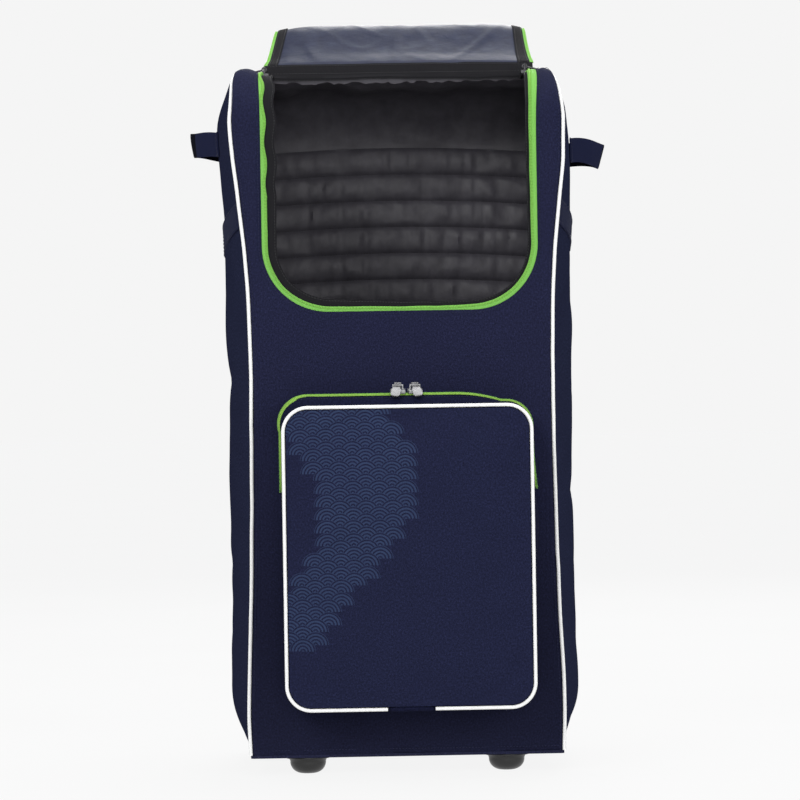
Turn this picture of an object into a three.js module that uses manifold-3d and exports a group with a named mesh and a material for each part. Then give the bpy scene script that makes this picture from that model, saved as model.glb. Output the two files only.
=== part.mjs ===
// Wheeled cricket kit bag, standing upright with its lid unzipped and thrown back.
// Millimetres, +Z up, the front faces -Y, the floor is at z = 0.
import * as THREE from 'three';
import { mergeVertices } from 'three/addons/utils/BufferGeometryUtils.js';
import Module from 'manifold-3d';

const wasm = await Module();
wasm.setup();

// Clearance between pieces that touch
const FIT = 0.3;

// Body of the bag
const BAG_HEIGHT = 882;
const BAG_DEPTH = 330;
const BAG_HALF_WIDTH = 212;
const SHOULDER_RADIUS = 70;
const BACK_RADIUS = 80;
const PANEL_WALL = 3;
const BASE_WALL = 4;
const BASE_CORNER = 6;
const FRONT_CROWN = 8;
const BACK_CROWN = 8;
const SHOULDER_PUFF = 4;
const GUSSET_BULGE = 33;
const GUSSET_END_RISE = 80;
const PIPING_RADIUS = 3;
const PIPING_SINK = 1.5;

// Opening, its zip and the binding behind it
const OPENING_INSET = 35;
const OPENING_HALF_WIDTH = BAG_HALF_WIDTH - OPENING_INSET;
const OPENING_BOTTOM = 570;
const OPENING_CORNER = 85;
const HINGE_SETBACK = 140;
const ZIP_WIDTH = 11;
const ZIP_WALL = 2;
const ZIP_COIL = 0.8;
const BINDING_WIDTH = 13;
const BINDING_WALL = 1.5;
const BINDING_LAP = 3;

// Quilted lining of the back
const QUILT_PITCH = 36;
const QUILT_CHANNELS = 8;
const QUILT_PAD = 8;
const QUILT_SEAM_WALL = 2.5;
const QUILT_ARCH = 8;
const LINING_FOLD = 7;
const LINING_HEM = 60;
const LINING_SIDE_GAP = 5;

// Lid
const LID_SHELL_WALL = 3;
const LID_SKIN_WALL = 1.6;
const LID_ZIP_WIDTH = 4;
const LID_BINDING_WIDTH = 13;
const LID_DROOP = 6;
const LID_SIDE_GAP = 1;
const HINGE_BAND_WALL = 1.6;
const HINGE_BAND_HEIGHT = 18;
const HINGE_BAND_TAIL = 12;
const HINGE_BAND_START = 2;

// Front pocket
const POCKET_INSET = 55;
const POCKET_HALF_WIDTH = BAG_HALF_WIDTH - POCKET_INSET;
const POCKET_HEIGHT = 382;
const POCKET_BOTTOM = 66;
const POCKET_SHIFT = 4;
const POCKET_DEPTH = 60;
const POCKET_CORNER = 36;
const POCKET_PUFF = 16;
const POCKET_CROWN = 10;
const POCKET_SIDE_BULGE = 6;
const POCKET_GUSSET_WALL = 2.5;
const POCKET_ZIP_WALL = 1.8;
const PIPING_JOINT_WIDTH = 54;
const PIPING_JOINT_RADIUS = 3.6;

// Zip sliders and their pulls
const SLIDER_LENGTH = 19;
const SLIDER_WIDTH = 11;
const SLIDER_THICKNESS = 4.5;
const BAIL_LENGTH = 14;
const BAIL_HEIGHT = 6.5;
const BAIL_BAR = 2;
const BAIL_WIDTH = 2.4;
const PULL_LENGTH = 21;
const PULL_WIDTH = 12;
const PULL_NECK = 6;
const PULL_WALL = 1.8;
const PULL_EYE_RADIUS = 2.1;
const PULL_EYE_WALL = 1.5;
const PULL_SPLAY = 12;
const POCKET_PULL_DROP = 30;
const MAIN_PULL_DROP = 14;
const POCKET_SLIDER_SPACING = 21.6;

// Webbing on the sides
const WEBBING_WIDTH = 32;
const WEBBING_WALL = 2;
const LOOP_HEIGHT = 787;
const LOOP_SPAN = 110;
const LOOP_REACH = 38;
const LOOP_SAG = 5;
const TAB_TOP = 712;
const TAB_DROP = 32;
const TAB_LENGTH = 150;

// Front feet
const FOOT_HEIGHT = 22;
const FOOT_RADIUS = 23;
const FOOT_FLANGE_RADIUS = 29;
const FOOT_FLANGE_WALL = 2;
const FOOT_FLAT_RADIUS = 8;
const FOOT_INSET = 84;
const FOOT_REACH = BAG_HALF_WIDTH - FOOT_INSET;
const FOOT_SETBACK = 30;
const SCREW_RADIUS = 4.2;
const SCREW_HEIGHT = 3;

// Rear wheels and their housings
const WHEEL_RADIUS = 30;
const WHEEL_WIDTH = 30;
const WHEEL_INSET = 62;
const WHEEL_REACH = BAG_HALF_WIDTH - WHEEL_INSET;
const WHEEL_SETBACK = 18;
const WHEEL_CHAMFER = 4;
const AXLE_RADIUS = 4;
const HOUSING_GAP = 3;
const HOUSING_WALL = 3;
const HUB_GAP = 0.5;
const HUB_RADIUS = 9;

// Half width of the side seams as a share of BAG_HALF_WIDTH. Station 0 to 1 goes up the
// front, 1 to 2 over the shoulder, 2 to 3 along the top, 3 to 4 round the back and 4 to 5 down it.
const SEAM_ROWS = [
  { station: 0.0, half: 0.948 },
  { station: 0.09, half: 0.953 },
  { station: 0.25, half: 0.93 },
  { station: 0.4, half: 0.919 },
  { station: 0.56, half: 0.912 },
  { station: 0.7, half: 0.919 },
  { station: 0.8, half: 0.939 },
  { station: 0.88, half: 0.971 },
  { station: 0.95, half: 0.996 },
  { station: 1.1, half: 1.0 },
  { station: 1.5, half: 0.982 },
  { station: 2.0, half: 0.94 },
  { station: 3.0, half: 0.925 },
  { station: 4.0, half: 0.935 },
  { station: 4.5, half: 0.93 },
  { station: 5.0, half: 0.948 },
];

// Share of the crown of the front and back panels along the same stations, and of the
// puff of the narrow strips between the opening and the side seams.
const CROWN_ROWS = [
  { station: 0.0, crown: 0.0, puff: 0.0 },
  { station: 0.15, crown: 0.8, puff: 0.0 },
  { station: 0.5, crown: 1.0, puff: 0.0 },
  { station: 0.75, crown: 0.8, puff: 0.2 },
  { station: 1.0, crown: 0.4, puff: 0.8 },
  { station: 1.5, crown: 0.2, puff: 1.0 },
  { station: 2.0, crown: 0.0, puff: 0.9 },
  { station: 2.4, crown: 0.0, puff: 0.6 },
  { station: 2.7, crown: 0.0, puff: 0.0 },
  { station: 3.0, crown: 0.0, puff: 0.0 },
  { station: 4.0, crown: 0.5, puff: 0.0 },
  { station: 4.5, crown: 1.0, puff: 0.0 },
  { station: 5.0, crown: 0.0, puff: 0.0 },
];

// Share of GUSSET_BULGE on each level of the side walls
const BULGE_ROWS = [
  { station: 0.0, bulge: 0.88 },
  { station: 0.25, bulge: 0.92 },
  { station: 0.5, bulge: 0.98 },
  { station: 0.75, bulge: 0.94 },
  { station: 0.93, bulge: 0.76 },
  { station: 1.0, bulge: 0.84 },
  { station: 1.2, bulge: 0.95 },
  { station: 2.0, bulge: 0.9 },
];

// Width of the green tape as a share of ZIP_WIDTH and of the binding that shows inside it,
// along the opening's edge from the left hinge (0) round the bottom (0.5) to the right (1).
const EDGE_ROWS = [
  { around: 0.0, tape: 0.5, binding: 1.0 },
  { around: 0.2, tape: 0.75, binding: 1.0 },
  { around: 0.4, tape: 0.75, binding: 0.8 },
  { around: 0.5, tape: 0.5, binding: 0.5 },
  { around: 0.6, tape: 0.8, binding: 0.35 },
  { around: 0.8, tape: 1.0, binding: 0.3 },
  { around: 1.0, tape: 0.85, binding: 0.3 },
];

// Upright soft folds of the slack lining under the hinge, as shares of the half width
const FOLD_ROWS = [
  { across: -1.0, depth: 0.1 },
  { across: -0.78, depth: 0.9 },
  { across: -0.5, depth: 0.2 },
  { across: -0.28, depth: 0.8 },
  { across: 0.0, depth: 0.3 },
  { across: 0.3, depth: 1.0 },
  { across: 0.5, depth: 0.2 },
  { across: 0.76, depth: 0.7 },
  { across: 1.0, depth: 0.1 },
];

// Slope of the thrown-back lid in degrees, along shares of its length from the hinge
const LID_ROWS = [
  { run: 0.0, slope: 66 },
  { run: 0.035, slope: 60 },
  { run: 0.06, slope: 27 },
  { run: 0.36, slope: 24 },
  { run: 0.66, slope: -88 },
  { run: 0.7, slope: -91 },
  { run: 1.0, slope: -91 },
];

// Section of the pocket's side strip: how far behind the face and how far out
const POCKET_SECTION = [
  { depth: 0.08, puff: 0.06 },
  { depth: 0.16, puff: 0.52 },
  { depth: 0.26, puff: 0.8 },
  { depth: 0.44, puff: 0.96 },
  { depth: 1.0, puff: 1.0 },
];

// Plan of a carrying loop: along the side wall and out from it
const LOOP_ROWS = [
  { span: -0.66, reach: 0.0 },
  { span: -0.52, reach: 0.0 },
  { span: -0.44, reach: 0.14 },
  { span: -0.28, reach: 0.52 },
  { span: -0.1, reach: 0.9 },
  { span: -0.035, reach: 1.0 },
  { span: 0.035, reach: 1.0 },
  { span: 0.12, reach: 0.88 },
  { span: 0.32, reach: 0.5 },
  { span: 0.46, reach: 0.14 },
  { span: 0.54, reach: 0.0 },
  { span: 0.68, reach: 0.0 },
];

const COLOURS = {
  navy: { color: 0x1f2440, roughness: 0.85, metalness: 0 },
  navyPocket: { color: 0x242842, roughness: 0.85, metalness: 0 },
  webbing: { color: 0x1f233c, roughness: 0.75, metalness: 0 },
  piping: { color: 0xf4f4f2, roughness: 0.5, metalness: 0 },
  green: { color: 0x6fc646, roughness: 0.6, metalness: 0 },
  binding: { color: 0x202124, roughness: 0.75, metalness: 0 },
  lining: { color: 0x1c1b1f, roughness: 0.45, metalness: 0 },
  lidLining: { color: 0x4c5166, roughness: 0.35, metalness: 0 },
  plastic: { color: 0x2a2a2b, roughness: 0.4, metalness: 0 },
  wheel: { color: 0x18181a, roughness: 0.5, metalness: 0 },
  nickel: { color: 0xc9cace, roughness: 0.2, metalness: 1 },
  steel: { color: 0x9a9b9e, roughness: 0.35, metalness: 1 },
  darkMetal: { color: 0x3a3a3d, roughness: 0.35, metalness: 1 },
};

const SIDES = [
  { name: 'left', side: -1 },
  { name: 'right', side: 1 },
];

const bag = new THREE.Group();

// Adds one named piece to the bag
function addPiece(name, geometry, colour) {
  const mesh = new THREE.Mesh(geometry, new THREE.MeshStandardMaterial(COLOURS[colour]));
  mesh.name = name;
  bag.add(mesh);
  return mesh;
}

// Smooth value between a table's rows, read by its named columns
function tableValue(rows, key, column, at) {
  const last = rows.length - 1;
  let i = 0;
  while (i < last - 1 && at > rows[i + 1][key]) i += 1;
  const slope = (j) => {
    const before = rows[Math.max(j - 1, 0)];
    const after = rows[Math.min(j + 1, last)];
    return (after[column] - before[column]) / (after[key] - before[key]);
  };
  const width = rows[i + 1][key] - rows[i][key];
  const t = THREE.MathUtils.clamp((at - rows[i][key]) / width, 0, 1);
  const rise = rows[i + 1][column] - rows[i][column];
  const bend = (1 - t) * (slope(i) * width - rise) - t * (slope(i + 1) * width - rise);
  return rows[i][column] + t * rise + t * (1 - t) * bend;
}

// Evenly spaced values from a to b, both ends included
function spread(a, b, steps) {
  return Array.from({ length: steps + 1 }, (_, i) => a + ((b - a) * i) / steps);
}

// Closed geometry from points and triangles, turned so that its faces point out
function closedGeometry(points, triangles) {
  let volume = 0;
  const edge = new THREE.Vector3();
  triangles.forEach(([a, b, c]) => {
    volume += points[a].dot(edge.crossVectors(points[b], points[c]));
  });
  const ordered = volume < 0 ? triangles.map(([a, b, c]) => [a, c, b]) : triangles;
  const geometry = new THREE.BufferGeometry();
  const positions = new Float32Array(points.flatMap((p) => [p.x, p.y, p.z]));
  geometry.setAttribute('position', new THREE.BufferAttribute(positions, 3));
  geometry.setIndex(ordered.flat());
  geometry.computeVertexNormals();
  return geometry;
}

// A wall between an outer and an inner grid of points, closed along its borders
function wallGeometry(rows, columns, outerAt, innerAt, ring = false) {
  const points = [];
  const triangles = [];
  [outerAt, innerAt].forEach((pointAt) => {
    for (let i = 0; i < rows; i += 1) {
      for (let j = 0; j < columns; j += 1) points.push(pointAt(i, j));
    }
  });
  const index = (face, i, j) => (face * rows + (i % rows)) * columns + j;
  const quad = (a, b, c, d) => triangles.push([a, b, c], [a, c, d]);
  const spans = ring ? rows : rows - 1;
  for (let i = 0; i < spans; i += 1) {
    for (let j = 0; j < columns - 1; j += 1) {
      quad(index(0, i, j), index(0, i, j + 1), index(0, i + 1, j + 1), index(0, i + 1, j));
      quad(index(1, i, j), index(1, i + 1, j), index(1, i + 1, j + 1), index(1, i, j + 1));
    }
    quad(index(0, i, 0), index(0, i + 1, 0), index(1, i + 1, 0), index(1, i, 0));
    const j = columns - 1;
    quad(index(0, i, j), index(1, i, j), index(1, i + 1, j), index(0, i + 1, j));
  }
  if (!ring) {
    for (let j = 0; j < columns - 1; j += 1) {
      quad(index(0, 0, j), index(1, 0, j), index(1, 0, j + 1), index(0, 0, j + 1));
      const i = rows - 1;
      quad(index(0, i, j), index(0, i, j + 1), index(1, i, j + 1), index(1, i, j));
    }
  }
  return closedGeometry(points, triangles);
}

// A cord through centres, each with the two directions of its round section
function cordGeometry(centres, radius, sides = 6) {
  const points = [];
  const triangles = [];
  centres.forEach(({ at, across, out }) => {
    for (let k = 0; k < sides; k += 1) {
      const angle = (2 * Math.PI * (k + 0.5)) / sides;
      const point = at.clone().addScaledVector(across, radius * Math.cos(angle));
      points.push(point.addScaledVector(out, radius * Math.sin(angle)));
    }
  });
  const last = (centres.length - 1) * sides;
  for (let k = 0; k < sides; k += 1) {
    const next = (k + 1) % sides;
    for (let i = 0; i < last; i += sides) {
      triangles.push([i + k, i + next, i + sides + next], [i + k, i + sides + next, i + sides + k]);
    }
    if (k > 0 && k < sides - 1) {
      triangles.push([0, k + 1, k], [last, last + k, last + k + 1]);
    }
  }
  return closedGeometry(points, triangles);
}

// Solid of a closed geometry, for joining and cutting
function solidOf(geometry) {
  const bare = geometry.clone();
  bare.deleteAttribute('normal');
  bare.deleteAttribute('uv');
  const merged = mergeVertices(bare, 1e-4);
  return new wasm.Manifold(new wasm.Mesh({
    numProp: 3,
    vertProperties: new Float32Array(merged.attributes.position.array),
    triVerts: new Uint32Array(merged.index.array),
  }));
}

function geometryOf(solid) {
  const mesh = solid.getMesh();
  const geometry = new THREE.BufferGeometry();
  geometry.setAttribute('position', new THREE.BufferAttribute(mesh.vertProperties, 3));
  geometry.setIndex(new THREE.BufferAttribute(mesh.triVerts, 1));
  geometry.computeVertexNormals();
  return geometry;
}

// Outermost point of a piece's skin, looked for along an axis at and around a place
function skinAt(mesh, place, axis, sign, around) {
  const from = new THREE.Vector3();
  const direction = new THREE.Vector3().setComponent(axis, -sign);
  const caster = new THREE.Raycaster();
  let best = -Infinity;
  [-1, 0, 1].forEach((u) => {
    [-1, 0, 1].forEach((v) => {
      from.copy(place);
      from.setComponent((axis + 1) % 3, place.getComponent((axis + 1) % 3) + u * around);
      from.setComponent((axis + 2) % 3, place.getComponent((axis + 2) % 3) + v * around);
      from.setComponent(axis, 2 * sign * BAG_HEIGHT);
      caster.set(from, direction);
      const [hit] = caster.intersectObject(mesh);
      if (hit) best = Math.max(best, sign * hit.point.getComponent(axis));
    });
  });
  return best > -Infinity ? sign * best : place.getComponent(axis);
}

function boxAt(sizeX, sizeY, sizeZ, x, y, z) {
  return new THREE.BoxGeometry(sizeX, sizeY, sizeZ).translate(x, y, z);
}

// Rod along X, centred on a point
function rodAlongX(radius, length, x, y, z, sides = 16) {
  const rod = new THREE.CylinderGeometry(radius, radius, length, sides);
  return rod.rotateZ(Math.PI / 2).translate(x, y, z);
}

// Outline drawn in the YZ plane and extruded along X, centred on a distance
function prismAlongX(outline, width, x) {
  const prism = new THREE.ExtrudeGeometry(outline, {
    depth: width,
    bevelEnabled: false,
    curveSegments: 10,
  });
  return prism.rotateY(Math.PI / 2).rotateX(Math.PI / 2).translate(x - width / 2, 0, 0);
}

// Side profile of the bag, followed from the bottom of the front to the bottom of the back
const FRONT_Y = -BAG_DEPTH / 2;
const BACK_Y = BAG_DEPTH / 2;
const STRETCHES = [
  BAG_HEIGHT - SHOULDER_RADIUS,
  (SHOULDER_RADIUS * Math.PI) / 2,
  BAG_DEPTH - SHOULDER_RADIUS - BACK_RADIUS,
  (BACK_RADIUS * Math.PI) / 2,
  BAG_HEIGHT - BACK_RADIUS,
];

function runAt(station) {
  const whole = Math.min(Math.floor(station), STRETCHES.length - 1);
  const before = STRETCHES.slice(0, whole).reduce((sum, length) => sum + length, 0);
  return before + (station - whole) * STRETCHES[whole];
}

function stationAt(run) {
  let station = 0;
  let left = run;
  while (station < STRETCHES.length - 1 && left > STRETCHES[station]) {
    left -= STRETCHES[station];
    station += 1;
  }
  return station + left / STRETCHES[station];
}

function profileAt(run) {
  const station = stationAt(run);
  const stretch = Math.min(Math.floor(station), STRETCHES.length - 1);
  const share = station - stretch;
  const angle = (share * Math.PI) / 2;
  if (stretch === 0) return { y: FRONT_Y, z: run, ny: -1, nz: 0 };
  if (stretch === 1) {
    const ny = -Math.cos(angle);
    const nz = Math.sin(angle);
    const y = FRONT_Y + SHOULDER_RADIUS * (1 + ny);
    return { y, z: BAG_HEIGHT - SHOULDER_RADIUS * (1 - nz), ny, nz };
  }
  if (stretch === 2) {
    const y = FRONT_Y + SHOULDER_RADIUS + share * STRETCHES[2];
    return { y, z: BAG_HEIGHT, ny: 0, nz: 1 };
  }
  if (stretch === 3) {
    const ny = Math.sin(angle);
    const nz = Math.cos(angle);
    const y = BACK_Y - BACK_RADIUS * (1 - ny);
    return { y, z: BAG_HEIGHT - BACK_RADIUS * (1 - nz), ny, nz };
  }
  return { y: BACK_Y, z: (1 - share) * STRETCHES[4], ny: 1, nz: 0 };
}

const TOTAL_RUN = STRETCHES.reduce((sum, length) => sum + length, 0);
const HINGE_RUN = STRETCHES[0] + STRETCHES[1] + HINGE_SETBACK - SHOULDER_RADIUS;
const HINGE_Y = FRONT_Y + HINGE_SETBACK;
const LOW_RUN = BASE_WALL + FIT;
const SEAM_INSET = PIPING_RADIUS + FIT;
const GUSSET_INSET = PIPING_SINK + PIPING_RADIUS + FIT;

function seamHalf(run) {
  return BAG_HALF_WIDTH * tableValue(SEAM_ROWS, 'station', 'half', stationAt(run));
}

// How far the soft panels stand out of the side profile
function crownAt(x, run) {
  const station = stationAt(run);
  const half = seamHalf(run);
  const height = run < HINGE_RUN ? FRONT_CROWN : BACK_CROWN;
  const crown = height * tableValue(CROWN_ROWS, 'station', 'crown', station) * (1 - (x / half) ** 2);
  const strip = (Math.abs(x) - OPENING_HALF_WIDTH) / (half - OPENING_HALF_WIDTH);
  const bump = strip > 0 && strip < 1 ? Math.sin(Math.PI * strip) : 0;
  return crown + SHOULDER_PUFF * tableValue(CROWN_ROWS, 'station', 'puff', station) * bump;
}

// Point of the soft shell at a width, a run along the profile and a depth under its skin
function shellPoint(x, run, inward = 0) {
  const at = profileAt(run);
  const out = crownAt(x, run) - inward;
  return new THREE.Vector3(x, at.y + at.ny * out, at.z + at.nz * out);
}

// Levels at which the panels, the piping and the side walls share their corners
const CORNER_RUN = OPENING_BOTTOM + OPENING_CORNER;
const CORNER_STEPS = 6;
const frontRuns = [
  ...spread(LOW_RUN, CORNER_RUN, CORNER_STEPS),
  ...spread(CORNER_RUN, STRETCHES[0], 3).slice(1),
  ...spread(1, 2, 5).slice(1).map(runAt),
];
const topRuns = [...spread(runAt(2), HINGE_RUN, 2).slice(1), runAt(2.7)];
const backRuns = [
  ...spread(3, 4, 5).map(runAt),
  ...frontRuns
    .filter((run) => run < STRETCHES[0])
    .reverse()
    .map((run) => TOTAL_RUN - (run === LOW_RUN ? run : (run / STRETCHES[0]) * STRETCHES[4])),
];

// The opening's edge and the lid's edge are the same U: two sides, two corners, one end
function edgePoint(shape, step, inset) {
  const radius = shape.corner - inset;
  if (step.kind === 'side') return { x: step.side * (shape.half - inset), along: step.along };
  if (step.kind === 'corner') {
    return {
      x: step.side * (shape.half - shape.corner + radius * Math.cos(step.angle)),
      along: shape.end + shape.turn * (shape.corner - radius * Math.sin(step.angle)),
    };
  }
  return { x: step.share * (shape.half - shape.corner), along: shape.end + shape.turn * inset };
}

// Steps round a U from the open end of its left side to the open end of its right side
function edgeSteps(sideRuns, cornerSteps) {
  const half = (side) => [
    ...sideRuns.map((along) => ({ kind: 'side', side, along })),
    ...spread(0, Math.PI / 2, cornerSteps).map((angle) => ({ kind: 'corner', side, angle })),
  ];
  const end = [-0.5, 0, 0.5].map((share) => ({ kind: 'end', share }));
  return [...half(-1), ...end, ...half(1).reverse()];
}

const OPENING = { half: OPENING_HALF_WIDTH, corner: OPENING_CORNER, end: OPENING_BOTTOM, turn: 1 };
const openingRuns = [HINGE_RUN - FIT, ...frontRuns.filter((run) => run > CORNER_RUN + 1).reverse()];
const openingSteps = edgeSteps(openingRuns, CORNER_STEPS);

// Front panel: from the opening's edge out to the side seams and down to the base
function frontEdge(step) {
  if (step.kind === 'side') {
    return { x: step.side * (seamHalf(step.along) - SEAM_INSET), along: step.along };
  }
  if (step.kind === 'corner') {
    const along = THREE.MathUtils.lerp(CORNER_RUN, LOW_RUN, step.angle / (Math.PI / 2));
    return { x: step.side * (seamHalf(along) - SEAM_INSET), along };
  }
  return { x: step.share * (seamHalf(LOW_RUN) - SEAM_INSET), along: LOW_RUN };
}

function makeFrontPanel() {
  const shares = [0, 0.15, 0.38, 0.62, 0.84, 1];
  const point = (inward) => (i, j) => {
    const inner = edgePoint(OPENING, openingSteps[i], 0);
    const outer = frontEdge(openingSteps[i]);
    const x = THREE.MathUtils.lerp(inner.x, outer.x, shares[j]);
    return shellPoint(x, THREE.MathUtils.lerp(inner.along, outer.along, shares[j]), inward);
  };
  return addPiece('front_panel', wallGeometry(openingSteps.length, shares.length,
    point(0), point(PANEL_WALL)), 'navy');
}

// Top and back panels: plain bands between the two side seams
function bandGeometry(runs, shares, inward, wall) {
  const point = (depth) => (i, j) => {
    const half = seamHalf(runs[i]) - SEAM_INSET;
    return shellPoint(shares[j] * half, runs[i], depth);
  };
  return wallGeometry(runs.length, shares.length, point(inward), point(inward + wall));
}

function makeTopAndBack() {
  const shares = [-1, -0.95, -0.9, -0.5, 0, 0.5, 0.9, 0.95, 1];
  const top = [HINGE_RUN, runAt(2.7), ...backRuns.slice(0, 6)];
  addPiece('top_panel', bandGeometry(top, shares, 0, PANEL_WALL), 'navy');
  const back = [backRuns[5] + FIT, ...backRuns.slice(6)];
  const panel = solidOf(bandGeometry(back, spread(-1, 1, 8), 0, PANEL_WALL));
  addPiece('back_panel', geometryOf(wheelCuts(panel)), 'navy');
}

// Stiff board under the bag
function makeBase() {
  const half = seamHalf(0);
  const outline = new THREE.Shape();
  outline.moveTo(-half + BASE_CORNER, FRONT_Y);
  outline.lineTo(half - BASE_CORNER, FRONT_Y);
  outline.quadraticCurveTo(half, FRONT_Y, half, FRONT_Y + BASE_CORNER);
  outline.lineTo(half, BACK_Y - BASE_CORNER);
  outline.quadraticCurveTo(half, BACK_Y, half - BASE_CORNER, BACK_Y);
  outline.lineTo(-half + BASE_CORNER, BACK_Y);
  outline.quadraticCurveTo(-half, BACK_Y, -half, BACK_Y - BASE_CORNER);
  outline.lineTo(-half, FRONT_Y + BASE_CORNER);
  outline.quadraticCurveTo(-half, FRONT_Y, -half + BASE_CORNER, FRONT_Y);
  const board = new THREE.ExtrudeGeometry(outline, {
    depth: BASE_WALL,
    bevelEnabled: false,
    curveSegments: 4,
  });
  addPiece('bottom_panel', geometryOf(wheelCuts(solidOf(board))), 'navy');
}

// Side walls: soft gussets that swell between their seams
const gussetShares = spread(0, 1, 7).map((share) => (1 - Math.cos(Math.PI * share)) / 2);

function gussetPoint(side, row, column) {
  const run = frontRuns[row];
  const backRun = backRuns[backRuns.length - 1 - row];
  const front = profileAt(run);
  const back = profileAt(backRun);
  const share = gussetShares[column];
  const lerp = THREE.MathUtils.lerp;
  const y = lerp(front.y - front.ny * GUSSET_INSET, back.y - back.ny * GUSSET_INSET, share);
  const z = lerp(front.z - front.nz * GUSSET_INSET, back.z - back.nz * GUSSET_INSET, share);
  const rim = lerp(seamHalf(run), seamHalf(backRun), share);
  const low = Math.min((z - LOW_RUN) / GUSSET_END_RISE, 1);
  const high = Math.min((BAG_HEIGHT - GUSSET_INSET - z) / GUSSET_END_RISE, 1);
  const ends = (1 - (1 - low) ** 2) * (1 - (1 - high) ** 2.2);
  const across = 1 - Math.abs(2 * share - 1) ** 2.2;
  const level = tableValue(BULGE_ROWS, 'station', 'bulge', stationAt(run));
  return new THREE.Vector3(side * (rim + GUSSET_BULGE * level * across * ends), y, z);
}

function makeGusset({ name, side }) {
  const point = (inward) => (i, j) => {
    const at = gussetPoint(side, i, j);
    at.x -= side * inward;
    return at;
  };
  return addPiece(`gusset_${name}`, wallGeometry(frontRuns.length, gussetShares.length,
    point(0), point(PANEL_WALL)), 'navy');
}

// Outer face of a side wall at a place on it
function gussetSkin(gusset, side, y, z, around) {
  return skinAt(gusset, new THREE.Vector3(side * BAG_HALF_WIDTH, y, z), 0, side, around);
}

// White cord sewn into each side seam
function makePiping({ name, side }) {
  const runs = [...frontRuns, ...topRuns, ...backRuns];
  const across = new THREE.Vector3(1, 0, 0);
  const centres = runs.map((run) => {
    const { y, z, ny, nz } = profileAt(run);
    const at = new THREE.Vector3(side * seamHalf(run), y - ny * PIPING_SINK, z - nz * PIPING_SINK);
    return { at, across, out: new THREE.Vector3(0, ny, nz) };
  });
  addPiece(`piping_${name}`, cordGeometry(centres, PIPING_RADIUS), 'piping');
}

// Zip tape round the opening, and the black binding behind it
function edgeShare(row) {
  return row / (openingSteps.length - 1);
}

function tapeWidth(row) {
  return ZIP_WIDTH * tableValue(EDGE_ROWS, 'around', 'tape', edgeShare(row));
}

function stripPoint(row, inset, inward) {
  const step = openingSteps[row];
  const room = HINGE_BAND_WALL + 2 * FIT;
  const open = row === 0 || row === openingSteps.length - 1;
  const { x, along } = edgePoint(OPENING, step, inset);
  return shellPoint(x, open ? HINGE_RUN - room : along, inward);
}

function makeOpeningTrim() {
  const tape = (depth, ridge) => (i, j) => {
    const inset = THREE.MathUtils.lerp(FIT, tapeWidth(i), j / 2);
    return stripPoint(i, inset, depth - (j === 1 ? ridge : 0));
  };
  addPiece('main_zip', wallGeometry(openingSteps.length, 3,
    tape(FIT, ZIP_COIL), tape(FIT + ZIP_WALL, 0)), 'green');
  const binding = (depth) => (i, j) => {
    const shown = BINDING_WIDTH * tableValue(EDGE_ROWS, 'around', 'binding', edgeShare(i));
    return stripPoint(i, tapeWidth(i) + (j === 0 ? -BINDING_LAP : shown), depth);
  };
  const under = ZIP_WALL + 3 * FIT;
  addPiece('opening_binding', wallGeometry(openingSteps.length, 2,
    binding(under), binding(under + BINDING_WALL)), 'binding');
}

// Quilted lining on the inside of the top and the back
function makeBackLining() {
  const quiltTop = runAt(4) + QUILT_ARCH;
  const rows = [];
  [HINGE_RUN, runAt(2.7), ...spread(3, 4, 5).slice(0, -1).map(runAt)].forEach((run) => {
    rows.push({ run, pad: 0.35, fold: 1, arch: 0 });
  });
  for (let k = 0; k <= QUILT_CHANNELS; k += 1) {
    const run = quiltTop + k * QUILT_PITCH;
    rows.push({ run, pad: 0, fold: 0, arch: 1 });
    if (k < QUILT_CHANNELS) rows.push({ run: run + QUILT_PITCH / 2, pad: 1, fold: 0, arch: 1 });
  }
  rows.push({ run: TOTAL_RUN - LINING_HEM, pad: 0, fold: 0, arch: 0 });
  const fadeRun = runAt(2.7) - HINGE_RUN;
  const point = (face) => (i, j) => {
    const { run, pad, fold, arch } = rows[i];
    const { across, depth } = FOLD_ROWS[j];
    const seam = seamHalf(run) - SEAM_INSET - LINING_SIDE_GAP;
    const half = run > HINGE_RUN ? seam : Math.min(seam, OPENING_HALF_WIDTH);
    const slack = fold * LINING_FOLD * depth * Math.min((run - HINGE_RUN) / fadeRun, 1);
    const body = QUILT_SEAM_WALL + (QUILT_PAD - QUILT_SEAM_WALL) * pad + slack;
    const raised = run - arch * QUILT_ARCH * (1 - across ** 2);
    return shellPoint(across * half, raised, PANEL_WALL + 2 * FIT + face * body);
  };
  addPiece('back_lining', wallGeometry(rows.length, FOLD_ROWS.length, point(1), point(0)), 'lining');
}

// Path of the thrown-back lid, in steps along its length from the hinge
const LID_CORNER_STEPS = 4;
const LID_HALF_WIDTH = OPENING_HALF_WIDTH - LID_SIDE_GAP;
const LID_LENGTH = HINGE_RUN - OPENING_BOTTOM;
const LID_STEP = 1;
const lidPath = [{ y: HINGE_Y + FIT, z: BAG_HEIGHT + LID_SHELL_WALL / 2 + 2 * FIT }];
for (let run = 0; run < LID_LENGTH; run += LID_STEP) {
  const slope = tableValue(LID_ROWS, 'run', 'slope', (run + LID_STEP / 2) / LID_LENGTH);
  const angle = THREE.MathUtils.degToRad(slope);
  const { y, z } = lidPath[lidPath.length - 1];
  lidPath.push({ y: y + LID_STEP * Math.cos(angle), z: z + LID_STEP * Math.sin(angle) });
}

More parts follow.
